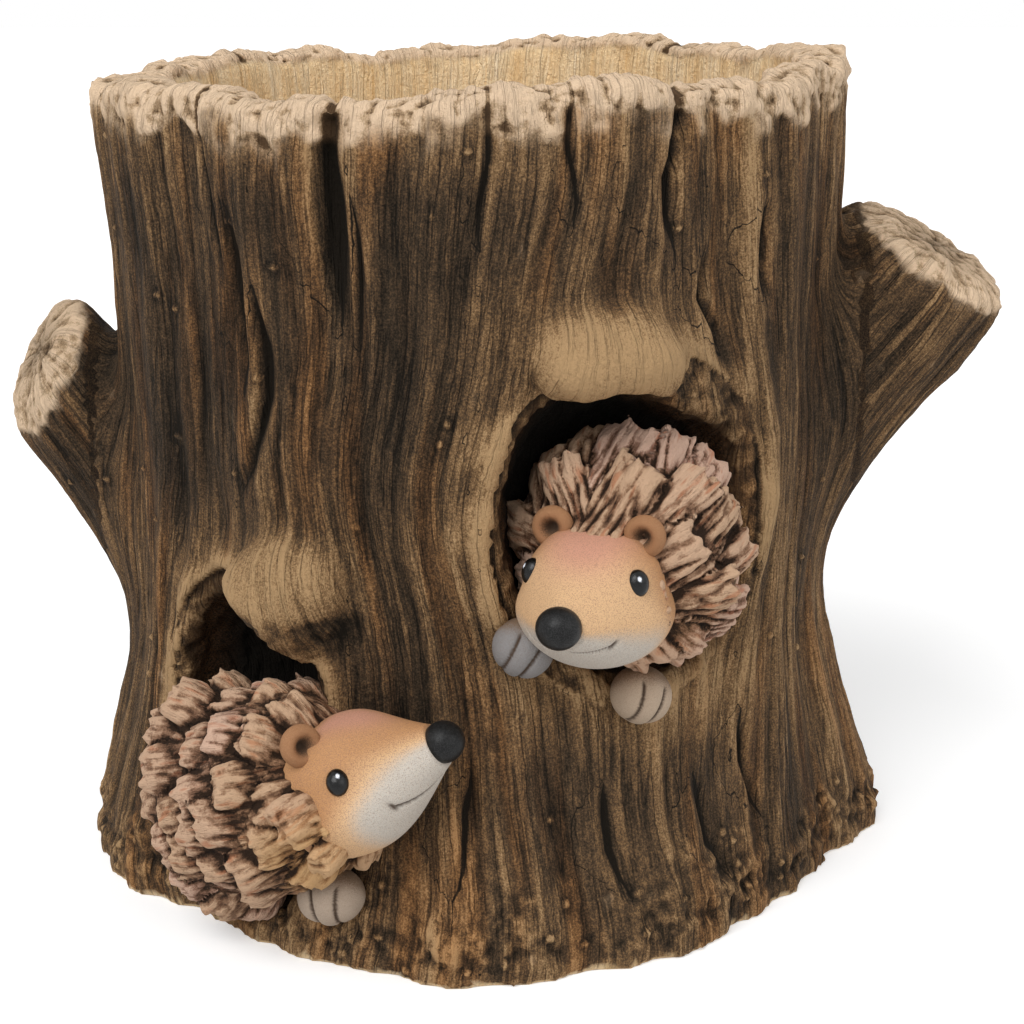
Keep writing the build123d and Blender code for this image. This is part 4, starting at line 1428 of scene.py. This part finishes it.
def grown_tufts(hedgehog, coat, draws):
    """Rings of all tufts, and for each of their points its step, tone, tuft, root, side and way."""
    grown = []
    marks = []
    scale = hedgehog.tuft_scale / MM
    for number, (root, out, back) in enumerate(zip(*quill_roots(hedgehog, coat.tuft_spacing * scale))):
        back = back + np.cross(back, out) * draws.uniform(-TUFT_TURN, TUFT_TURN)
        lift = math.tan(math.radians(hedgehog.tuft_lift * draws.uniform(*TUFT_LIFT_SPREAD)))
        side = np.cross(back, out) / np.linalg.norm(back)
        way = back + out * lift * np.linalg.norm(back)
        way /= np.linalg.norm(way)
        tuft_length = coat.tuft_length * scale * hedgehog.length_share * draws.uniform(*TUFT_LENGTH_SPREAD)
        size = tuft_length, coat.tuft_width * scale * draws.uniform(*TUFT_WIDTH_SPREAD)
        rings, steps = tuft_rings(hedgehog, size, (root, out, way, side), draws)
        tone = draws.uniform()
        grown.append(rings)
        marks += [(step, tone, number, *root, *side, *way) for step in steps.ravel()]
    return grown, np.array(marks)


def face_beads(hedgehog, draws):
    """Small beads along the edge of the coat round the face."""
    head, head_axes = head_place(hedgehog)
    beads = []
    for turn in np.linspace(*np.radians(FACE_BEAD_TURNS), FACE_BEAD_COUNT):
        across = math.cos(turn) * HEAD_HALF_WIDTH * brow_share(math.sin(turn))
        ahead = draws.uniform(-FACE_BEAD_STRAY, FACE_BEAD_STRAY) - hedgehog.bead_back
        centre = head + np.array((across, math.sin(turn) * HEAD_HALF_HEIGHT, ahead)) @ head_axes
        beads.append(centre + globe(*FACE_BEAD_GRID) * draws.uniform(*FACE_BEAD_RADII))
    return beads


def coat_mesh(hedgehog, coat):
    """A coat of blunt tufts that overlap like shingles, melted into one skin and grooved along them."""
    draws = np.random.default_rng(hedgehog.seed + 1)
    head, head_axes = head_place(hedgehog)
    grown, marks = grown_tufts(hedgehog, coat, draws)
    shells = base_shells(hedgehog) + grown + face_beads(hedgehog, draws)
    mesh = main_island(fused(shell_mesh(shells), coat.voxel / MM))
    smoothed = averaged(points_of(mesh), pairs_of(mesh), 1, 0.5)

    samples = np.concatenate(grown).reshape(-1, 3)
    tree = KDTree(len(samples))
    for index, sample in enumerate(samples):
        tree.insert(sample, index)
    tree.balance()
    table = marks[[tree.find(point)[1] for point in smoothed]]
    step, tone, number = table[:, :3].T
    offset = smoothed - table[:, 3:6]
    across = np.einsum("ij,ij->i", offset, table[:, 6:9])
    along = np.einsum("ij,ij->i", offset, table[:, 9:12])
    strand_place = np.column_stack((across, along, STRAND_STEP * number))
    grooves = hedgehog.groove_depth * (creased(strand_place, GROOVE_SIZES, hedgehog.seed + 2) - RIDGE_MEAN)
    grooves += NICK_DEPTH * soft_noise(strand_place / np.array(NICK_SIZES), hedgehog.seed + 3)
    set_points(mesh, smoothed + normals_of(mesh) * grooves[:, None])

    from_face = np.linalg.norm(smoothed - head, axis=1)
    low = ramp((smoothed - head) @ head_axes[1], *OCHRE_HEIGHTS)
    ochre = hedgehog.ochre * ramp(from_face, *OCHRE_REACH) * (OCHRE_LEAST + (1 - OCHRE_LEAST) * low)
    # Painted shade: each coat darkens towards one side, and the lower coat is shaded nearly all over.
    dark = ramp((smoothed - smoothed.mean(0)) @ np.array(hedgehog.dark_side), *DARK_REACH)
    mark(mesh, "tip", step)
    mark(mesh, "tone", hedgehog.pinkness * tone)
    mark(mesh, "ochre", ochre * ramp(tone, *OCHRE_TONES))
    mark(mesh, "strand", strand_place)
    mark(mesh, "shaded", hedgehog.dark_floor + (1 - hedgehog.dark_floor) * dark)
    mark_hollows(mesh, COAT_HOLLOWS)
    return mesh


def mouth_groove(hedgehog, along, x, y):
    """How deep the mouth cuts at each point of a head, from 0 to 1, with a dimple at its corners."""
    back, corner_turn = hedgehog.mouth
    share = np.clip((along - back) / (MOUTH_FRONT - back), 0, 1)
    turn = corner_turn + (MOUTH_MIDDLE_TURN - corner_turn) * share**MOUTH_CURVE_POWER
    gap = np.radians(np.degrees(np.arctan2(y, np.abs(x))) - turn) * np.hypot(x, y)
    groove = bell(gap, MOUTH_WIDTH) * ramp(along, *(back + reach for reach in MOUTH_CORNER))
    groove = groove * ramp(along, MOUTH_FRONT + MOUTH_FRONT_FADE, MOUTH_FRONT)
    return np.maximum(groove, bell(along - back, MOUTH_WIDTH) * bell(gap, DIMPLE_HEIGHT))


def head_mesh(hedgehog):
    """A head with broad cheeks, a narrow brow, a snout and a smile, and marks for its sprayed paint."""
    head, axes = head_place(hedgehog)
    steps = np.linspace(0, 1, HEAD_RING_COUNT)[:, None]
    along = -NAPE_LENGTH + (NAPE_LENGTH + SNOUT_LENGTH) * (1 - (1 - steps) ** HEAD_RING_POWER)
    turn = np.linspace(0, 2 * math.pi, HEAD_COLUMN_COUNT, endpoint=False)[None]
    girth = head_girth(along)
    droop = SNOUT_DROOP * np.clip(along / SNOUT_LENGTH, 0, 1) ** 2
    level = np.sin(turn)
    square = 1 - BROW_SQUARE_SHARE * ramp(level, *SQUARE_LEVELS) * ramp(along, *SQUARE_LENGTHS)
    cheek = bell(level - CHEEK_LEVEL, CHEEK_SPREAD) * bell(along - CHEEK_AHEAD, CHEEK_LENGTH)
    x = HEAD_HALF_WIDTH * girth * signed_power(np.cos(turn), square) * brow_share(level)
    x = x * (1 + CHEEK_SHARE * cheek)
    y = HEAD_HALF_HEIGHT * girth * signed_power(level, square) * (1 + CHEEK_HEIGHT_SHARE * cheek)
    groove = mouth_groove(hedgehog, along, x, y)
    shrink = 1 - MOUTH_DEPTH * groove / np.maximum(np.hypot(x, y), MOUTH_LEAST_RADIUS)
    rings = np.stack(np.broadcast_arrays(x * shrink, y * shrink - droop, along), -1)
    points, faces = loft(rings)
    mesh = mesh_of("head", head + points @ axes, faces)

    def mark_rings(name, values):
        poles = values[0].mean(), values[-1].mean()
        mark(mesh, name, np.append(values.reshape(-1), poles))

    along, level, across = np.broadcast_arrays(along, level, np.cos(turn))
    pink = ramp(level, *PINK_LEVELS) * ramp(along, *PINK_BACK) * ramp(along, *PINK_FRONT)
    slope, *chin_levels = hedgehog.chin
    chin = ramp(level - slope * (along - CHIN_SLOPE_FROM), *chin_levels) * ramp(along, *CHIN_BACK)
    mark_rings("edge", ramp(along - hedgehog.edge_slope * level, *EDGE_LENGTHS))
    mark_rings("brow", pink * bell(across, hedgehog.brow_spread))
    mark_rings("chin", chin)
    mark_rings("line", ramp(groove, *MOUTH_LINE))
    return mesh


def ear_mesh(hedgehog, ear):
    """A plump round lobe with a dished front."""
    axes = facing(bearing(*hedgehog.ear_facing))
    rings = globe(*EAR_GRID)
    reach = np.hypot(rings[..., 0], rings[..., 1])
    front = rings[..., 2] > 0
    local = rings * (EAR_RADIUS, EAR_RADIUS, EAR_HALF_THICKNESS)
    local[..., 2] *= 1 - np.where(front, EAR_DISH_DEPTH * bell(reach, EAR_DISH_SPREAD), 0)
    points, faces = loft(local)
    mesh = mesh_of("ear", middle(hedgehog.name + "_" + ear) + points @ axes, faces)
    shade = np.where(front, bell(reach, EAR_SHADE_SPREAD), EAR_BACK_SHADE)
    shade = np.append(shade.reshape(-1), (EAR_BACK_SHADE, 1.0))
    mark(mesh, "hollow", EAR_LEAST_HOLLOW + (1 - EAR_LEAST_HOLLOW) * shade)
    return mesh


def eye_mesh(hedgehog, eye, side):
    """A bead that looks out of the side of the face, with a mark for its painted glint."""
    _, axes = head_place(hedgehog)
    look = np.array(EYE_LOOK) * (side, 1, 1)
    own = facing(look / np.linalg.norm(look) @ axes)
    rings = globe(*EYE_GRID)
    points, faces = loft(rings * EYE_HALF_SIZES)
    mesh = mesh_of("eye", middle(hedgehog.name + "_" + eye) + own[2] * EYE_PROUD + points @ own, faces)
    unit = np.concatenate([rings.reshape(-1, 3), [-UP, UP]])
    spot = np.array((GLINT_SIDE, GLINT_RISE, 1.0))
    mark(mesh, "glint", ramp(unit @ (spot / np.linalg.norm(spot)), *GLINT_EDGE))
    return mesh


def nose_mesh(hedgehog):
    """A round button nose, a little broader than high."""
    _, axes = head_place(hedgehog)
    points, faces = loft(globe(*NOSE_GRID) * NOSE_SHARES * NOSE_RADIUS)
    mesh = mesh_of("nose", middle(hedgehog.name + "_nose") + points @ axes, faces)
    mark(mesh, "glint", np.zeros(len(points)))
    return mesh


def paw_mesh(hedgehog, paw, turn, roll, widen, cool):
    """A plump paw with two lines between three toes; a cool paw is painted grey."""
    axes = facing(bearing(turn, 0))
    roll = math.radians(roll)
    spun = np.array(((math.cos(roll), math.sin(roll), 0), (-math.sin(roll), math.cos(roll), 0), (0, 0, 1)))
    rings = globe(*PAW_GRID)
    side, rise, front = np.moveaxis(rings, -1, 0)
    lines = np.zeros(rings.shape[:2])
    for share in (-TOE_SHARE, TOE_SHARE):
        lines = np.maximum(lines, bell(side - share - TOE_SPLAY * share * rise, TOE_LINE_WIDTH))
    lines = lines * ramp(front, *TOE_LINE_FRONT) * ramp(rise, *TOE_LINE_TOP)
    toes = 1 + TOE_SWELL * np.cos(side / TOE_SHARE * math.pi) * ramp(front, *TOE_FRONT)
    local = rings * PAW_HALF_SIZES * (toes - TOE_LINE_DEPTH * lines)[..., None] * (widen, 1, 1)
    points, faces = loft(local)
    mesh = mesh_of("paw", middle(hedgehog.name + "_" + paw) + points @ spun @ axes, faces)
    mark(mesh, "line", np.append(ramp(lines, *TOE_LINE_PAINT).reshape(-1), (0, 0)))
    mark(mesh, "back", np.append(ramp(front - rise, *PAW_BACK_PAINT).reshape(-1), (1, 0)))
    mark(mesh, "cool", np.full(len(points), cool))
    return mesh


# Values that a user may change


def length(name, description, value):
    """A length property, with its default in millimetres."""
    return FloatProperty(name=name, description=description, default=value * MM, min=0.0, unit="LENGTH")


def strength(name, description, value):
    """A plain number property."""
    return FloatProperty(name=name, description=description, default=value, min=0.0)


def colour(name, description, *value):
    """A colour property."""
    return FloatVectorProperty(
        name=name, description=description, default=value, size=3, min=0.0, max=1.0, subtype="COLOR"
    )


class BarkSettings(bpy.types.PropertyGroup):
    """Relief and paint of the stump and its stubs."""

    voxel: length("Grid", "Spacing of the first, even mesh of the stump", 2.1)
    triangle_count: IntProperty(
        name="Triangles",
        description="Triangles kept in the stump and its stubs together",
        default=212000,
        min=20000,
    )
    swell_depth: length("Swells", "Depth of the broad waves in the trunk", 1.2)
    rib_depth: length("Ribs", "Depth of the bark's ribs, beside those of the solid", 0.9)
    strand_depth: length("Strands", "Depth of the strands on the ribs", 0.5)
    fibre_depth: length("Fibres", "Depth of the finest lines", 0.3)
    crumb_depth: length("Crumbs", "Depth of the crumbly rim, sawn ends and foot", 1.5)
    # Painted shade as well as dark wash: this colour fills the bark's grooves and hollows.
    wash_and_shade: colour("Wash", "Dark wash in the grooves", 0.01, 0.007, 0.004)
    shade: colour("Shaded bark", "Darker body colour", 0.036, 0.024, 0.014)
    body: colour("Bark", "Body colour", 0.086, 0.052, 0.028)
    crest: colour("Crests", "Tan dry brush on the ridges", 0.22, 0.127, 0.058)
    light: colour("Light crests", "Lightest crests, knots and lips of the dens", 0.44, 0.28, 0.14)
    warm: colour("Warm streaks", "Tint of the orange brown streaks", 1.0, 0.8, 0.62)
    rim: colour("Broken wood", "Pale rim and sawn ends", 0.46, 0.31, 0.18)
    rim_light: colour("Light broken wood", "Lightest grains of the rim", 0.8, 0.59, 0.4)
    rim_shade: colour("Shaded broken wood", "Hollows of the rim", 0.1, 0.057, 0.028)
    inside: colour("Inside", "Bare wood of the cavity", 0.98, 0.73, 0.43)
    inside_light: colour("Light inside", "Paler streaks in the cavity", 0.99, 0.82, 0.58)
    inside_shade: colour("Inside streaks", "Darker streaks in the cavity", 0.86, 0.55, 0.25)
    rust: colour("Den edge", "Rusty brown on the edge of the dens", 0.075, 0.034, 0.013)
    # Painted shade as well as dark paint: this colour darkens the dens with depth.
    den: colour("Den", "Dark paint deep in the dens", 0.008, 0.006, 0.004)


class CoatSettings(bpy.types.PropertyGroup):
    """Tufts and paint of the quill coats."""

    voxel: length("Grid", "Spacing of the melted coat's mesh", 0.55)
    tuft_spacing: length("Tuft spacing", "Least distance between the roots of two tufts", 10.2)
    tuft_length: length("Tuft length", "Length of a tuft of quills", 20.0)
    tuft_width: length("Tuft width", "Width of a tuft of quills", 13.5)
    # Painted shade as well as dark wash: this colour fills the gaps between the tufts.
    wash_and_shade: colour("Wash", "Dark wash between the tufts", 0.03, 0.016, 0.009)
    shade: colour("Shaded tufts", "Brown of the tufts' sides", 0.15, 0.078, 0.046)
    tan: colour("Tan tufts", "Body colour of the tan tufts", 0.3, 0.172, 0.1)
    mauve: colour("Mauve tufts", "Body colour of the mauve tufts", 0.34, 0.19, 0.132)
    light: colour("Tan crests", "Dry brush on the tan tufts", 0.58, 0.38, 0.245)
    pink: colour("Pink crests", "Dry brush on the mauve tufts", 0.66, 0.44, 0.33)
    rusty: colour("Rusty streaks", "Tint of the reddish streaks along the quills", 0.8, 0.5, 0.38)
    ochre: colour("Ochre tufts", "Tufts beside the face", 0.36, 0.185, 0.075)
    ochre_light: colour("Ochre crests", "Dry brush on the ochre tufts", 0.6, 0.36, 0.16)


class FaceSettings(bpy.types.PropertyGroup):
    """Paint of the faces, ears, eyes, noses and paws."""

    tan: colour("Cheeks", "Tan of the cheeks", 0.69, 0.44, 0.235)
    orange: colour("Edge", "Orange tan beside the coat", 0.47, 0.23, 0.09)
    pink: colour("Brow", "Pink of the brow and the bridge of the snout", 0.62, 0.31, 0.21)
    chin: colour("Chin", "Grey white of the chin", 0.55, 0.52, 0.47)
    # The line colour also paints the shade in the ears' dishes.
    line: colour("Lines", "Mouth and toe lines, and the dish of the ears", 0.06, 0.036, 0.022)
    ear: colour("Ears", "Body colour of the ears", 0.32, 0.155, 0.072)
    ear_light: colour("Ear rims", "Light rims of the ears", 0.46, 0.25, 0.125)
    paw: colour("Toes", "Beige of the toes", 0.48, 0.36, 0.255)
    paw_cool: colour("Grey toes", "Grey of the cool paws' toes", 0.24, 0.228, 0.224)
    paw_back: colour("Paws", "Brown of the paws' backs", 0.18, 0.115, 0.07)
    eye: colour("Eyes", "Black of the eyes", 0.004, 0.004, 0.004)
    nose: colour("Noses", "Charcoal of the noses", 0.005, 0.005, 0.005)


class StageSettings(bpy.types.PropertyGroup):
    """Floor, light and camera."""

    floor_size: length("Floor", "Side of the square floor", 6000.0)
    floor: colour("Floor colour", "Pale colour of the floor", 0.82, 0.82, 0.82)
    glow: strength("Floor glow", "Light that the camera sees on the floor", 0.35)
    world: strength("World light", "Strength of the light from all round", 0.58)
    key: strength("Key light", "Strength of the main lamp", 1.9)
    fill: strength("Fill light", "Strength of the weak lamp", 0.5)
    camera_place: FloatVectorProperty(
        name="Camera",
        description="Place of the camera",
        default=(0.01, -0.62, 0.265),
        size=3,
        subtype="TRANSLATION",
    )
    camera_tilt: FloatProperty(
        name="Camera tilt",
        description="Turn of the camera up from straight down",
        default=math.radians(74),
        subtype="ANGLE",
    )
    lens: FloatProperty(name="Lens", description="Focal length in millimetres", default=81.25, min=1.0)


# Operators


class PLANTER_OT_stump(bpy.types.Operator):
    """Make the bark of the stump and its two branch stubs"""

    bl_idname = "planter.stump"
    bl_label = "Stump and Stubs"

    def execute(self, context):
        bark = context.scene.planter_bark
        mesh = fused(node_mesh("stump_pot", "left_branch_stub", "right_branch_stub"), bark.voxel / MM)
        points = points_of(mesh)
        _, _, radius = round_trunk(points)
        joints = stub_joints(points) * (radius > INSIDE_RADIUS)
        points[:, 2] += spots_total(points, WARPS) * (radius > WARP_RADIUS)
        level = points[:, 2].copy()
        points = averaged(points, pairs_of(mesh), *FIRST_SMOOTHING)
        rounds, share = JOINT_SMOOTHING
        points = averaged(points, pairs_of(mesh), rounds, share * joints[:, None])
        points[:, 2] = np.where(level < UNDERSIDE, level, points[:, 2])
        set_points(mesh, points)
        mesh = after(mesh, ("SUBSURF", {"levels": 1, "subdivision_type": "SIMPLE"}))
        set_points(mesh, averaged(points_of(mesh), pairs_of(mesh), *LAST_SMOOTHING))
        carve_bark(mesh, bark)
        triangles = 2 * len(mesh.polygons)
        mesh = after(mesh, ("DECIMATE", {"ratio": min(1.0, bark.triangle_count / triangles)}))
        material = bark_material(bark)
        trunk, left, right = split_stubs(mesh)
        piece("bark_trunk", trunk, material, "bark", "stump_pot")
        piece("left_stub_bark", left, material, "bark", "left_branch_stub")
        piece("right_stub_bark", right, material, "bark", "right_branch_stub")
        return {"FINISHED"}


class PLANTER_OT_coats(bpy.types.Operator):
    """Make the hedgehogs' quill coats"""

    bl_idname = "planter.coats"
    bl_label = "Quill Coats"

    def execute(self, context):
        coat = context.scene.planter_coat
        material = coat_material(coat)
        for hedgehog in HEDGEHOGS:
            mesh = coat_mesh(hedgehog, coat)
            piece(hedgehog.name + "_quills", mesh, material, "quills", hedgehog.name + "_coat")
        return {"FINISHED"}


class PLANTER_OT_faces(bpy.types.Operator):
    """Make the hedgehogs' heads"""

    bl_idname = "planter.faces"
    bl_label = "Faces"

    def execute(self, context):
        material = face_material(context.scene.planter_face)
        for hedgehog in HEDGEHOGS:
            piece(hedgehog.name + "_head", head_mesh(hedgehog), material, "face", hedgehog.name + "_face")
        return {"FINISHED"}


class PLANTER_OT_ears(bpy.types.Operator):
    """Make the hedgehogs' ears"""

    bl_idname = "planter.ears"
    bl_label = "Ears"

    def execute(self, context):
        material = ear_material(context.scene.planter_face)
        for hedgehog in HEDGEHOGS:
            for ear in hedgehog.ears:
                node = hedgehog.name + "_" + ear
                piece(node + "_lobe", ear_mesh(hedgehog, ear), material, "face", node)
        return {"FINISHED"}


class PLANTER_OT_eyes(bpy.types.Operator):
    """Make the hedgehogs' eyes"""

    bl_idname = "planter.eyes"
    bl_label = "Eyes"

    def execute(self, context):
        material = gloss_material("gloss_eye", context.scene.planter_face.eye, 0.1, 0.3, 0.0)
        for hedgehog in HEDGEHOGS:
            for eye, side in hedgehog.eyes:
                node = hedgehog.name + "_" + eye
                piece(node + "_bead", eye_mesh(hedgehog, eye, side), material, "gloss_black", node)
        return {"FINISHED"}


class PLANTER_OT_noses(bpy.types.Operator):
    """Make the hedgehogs' noses"""

    bl_idname = "planter.noses"
    bl_label = "Noses"

    def execute(self, context):
        material = gloss_material("charcoal_nose", context.scene.planter_face.nose, 0.36, 0.2, 0.2)
        for hedgehog in HEDGEHOGS:
            node = hedgehog.name + "_nose"
            piece(node + "_button", nose_mesh(hedgehog), material, "gloss_black", node)
        return {"FINISHED"}


class PLANTER_OT_paws(bpy.types.Operator):
    """Make the hedgehogs' paws"""

    bl_idname = "planter.paws"
    bl_label = "Paws"

    def execute(self, context):
        material = paw_material(context.scene.planter_face)
        for hedgehog in HEDGEHOGS:
            for paw, *look in hedgehog.paws:
                node = hedgehog.name + "_" + paw
                piece(node + "_toes", paw_mesh(hedgehog, paw, *look), material, "paw", node)
        return {"FINISHED"}


class PLANTER_OT_stage(bpy.types.Operator):
    """Make the floor, the lamps, the world and the camera"""

    bl_idname = "planter.stage"
    bl_label = "Stage"

    def execute(self, context):
        stage = context.scene.planter_stage
        scene = context.scene
        half = stage.floor_size / 2 / MM
        corners = np.array(((-half, -half, 0), (half, -half, 0), (half, half, 0), (-half, half, 0)), float)
        floor = bpy.data.objects.new("floor", mesh_of("floor", corners, [(0, 1, 2, 3)]))
        scene.collection.objects.link(floor)
        floor.data.materials.append(self.floor_material(stage))
        lamps = ("key_lamp", stage.key, KEY_TURNS), ("fill_lamp", stage.fill, FILL_TURNS)
        for name, energy, turns in lamps:
            lamp = bpy.data.lights.new(name, "SUN")
            lamp.energy = energy
            lamp.angle = math.radians(LAMP_SPREAD)
            made = bpy.data.objects.new(name, lamp)
            made.rotation_euler = tuple(math.radians(turn) for turn in turns)
            scene.collection.objects.link(made)
        self.light_world(scene, stage)
        camera = bpy.data.objects.new("camera", bpy.data.cameras.new("camera"))
        camera.location = stage.camera_place
        camera.rotation_euler = (stage.camera_tilt, 0, 0)
        camera.data.lens = stage.lens
        camera.data.clip_end = 2 * stage.floor_size
        scene.collection.objects.link(camera)
        scene.camera = camera
        scene.view_settings.view_transform = "Standard"
        return {"FINISHED"}

    @staticmethod
    def seen(tree):
        """1 for what the camera sees, straight, in gloss or through glass."""
        path = put(tree, "ShaderNodeLightPath").outputs
        gloss = maths(tree, "MAXIMUM", path["Is Camera Ray"], path["Is Glossy Ray"])
        return maths(tree, "MAXIMUM", gloss, path["Is Transmission Ray"])

    def floor_material(self, stage):
        """A pale floor that keeps the shadow and reads as white to the camera."""
        material, tree, shader = painted("pale_floor", 0.9, 0.1)
        cloud = spread(tree, noise(tree, place(tree), (900.0, 900.0, 900.0)), 0.3, 0.7)
        shade = blend(tree, cloud, opaque(stage.floor), opaque(stage.floor * 0.98))
        tree.links.new(shade, shader.inputs["Base Color"])
        shader.inputs["Emission Color"].default_value = WHITE
        glow = maths(tree, "MULTIPLY", self.seen(tree), stage.glow)
        tree.links.new(glow, shader.inputs["Emission Strength"])
        return material

    def light_world(self, scene, stage):
        """An even white world, white to the camera."""
        scene.world = bpy.data.worlds.new("studio")
        scene.world.use_nodes = True
        tree = scene.world.node_tree
        background = tree.nodes["Background"]
        background.inputs["Color"].default_value = WHITE
        brightness = spread(tree, self.seen(tree), 0.0, 1.0, stage.world, 1.0)
        tree.links.new(brightness, background.inputs["Strength"])


class PLANTER_PT_sidebar(bpy.types.Panel):
    """Values and steps of the planter"""

    bl_idname = "PLANTER_PT_sidebar"
    bl_label = "Hedgehog Planter"
    bl_space_type = "VIEW_3D"
    bl_region_type = "UI"
    bl_category = "Planter"

    def draw(self, context):
        for operator in OPERATORS:
            self.layout.operator(operator.bl_idname)
        for name, settings in SETTINGS.items():
            box = self.layout.box()
            box.label(text=settings.__doc__)
            for value in settings.__annotations__:
                box.prop(getattr(context.scene, name), value)


OPERATORS = (
    PLANTER_OT_stump,
    PLANTER_OT_coats,
    PLANTER_OT_faces,
    PLANTER_OT_ears,
    PLANTER_OT_eyes,
    PLANTER_OT_noses,
    PLANTER_OT_paws,
    PLANTER_OT_stage,
)
SETTINGS = {
    "planter_bark": BarkSettings,
    "planter_coat": CoatSettings,
    "planter_face": FaceSettings,
    "planter_stage": StageSettings,
}
CLASSES = (*SETTINGS.values(), *OPERATORS, PLANTER_PT_sidebar)


def register():
    for one in CLASSES:
        bpy.utils.register_class(one)
    for name, settings in SETTINGS.items():
        setattr(bpy.types.Scene, name, PointerProperty(type=settings))


def unregister():
    for name in SETTINGS:
        delattr(bpy.types.Scene, name)
    for one in reversed(CLASSES):
        bpy.utils.unregister_class(one)


def main():
    register()
    bpy.ops.planter.stump()
    bpy.ops.planter.coats()
    bpy.ops.planter.faces()
    bpy.ops.planter.ears()
    bpy.ops.planter.eyes()
    bpy.ops.planter.noses()
    bpy.ops.planter.paws()
    bpy.ops.planter.stage()
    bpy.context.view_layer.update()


if __name__ == "__main__":
    main()
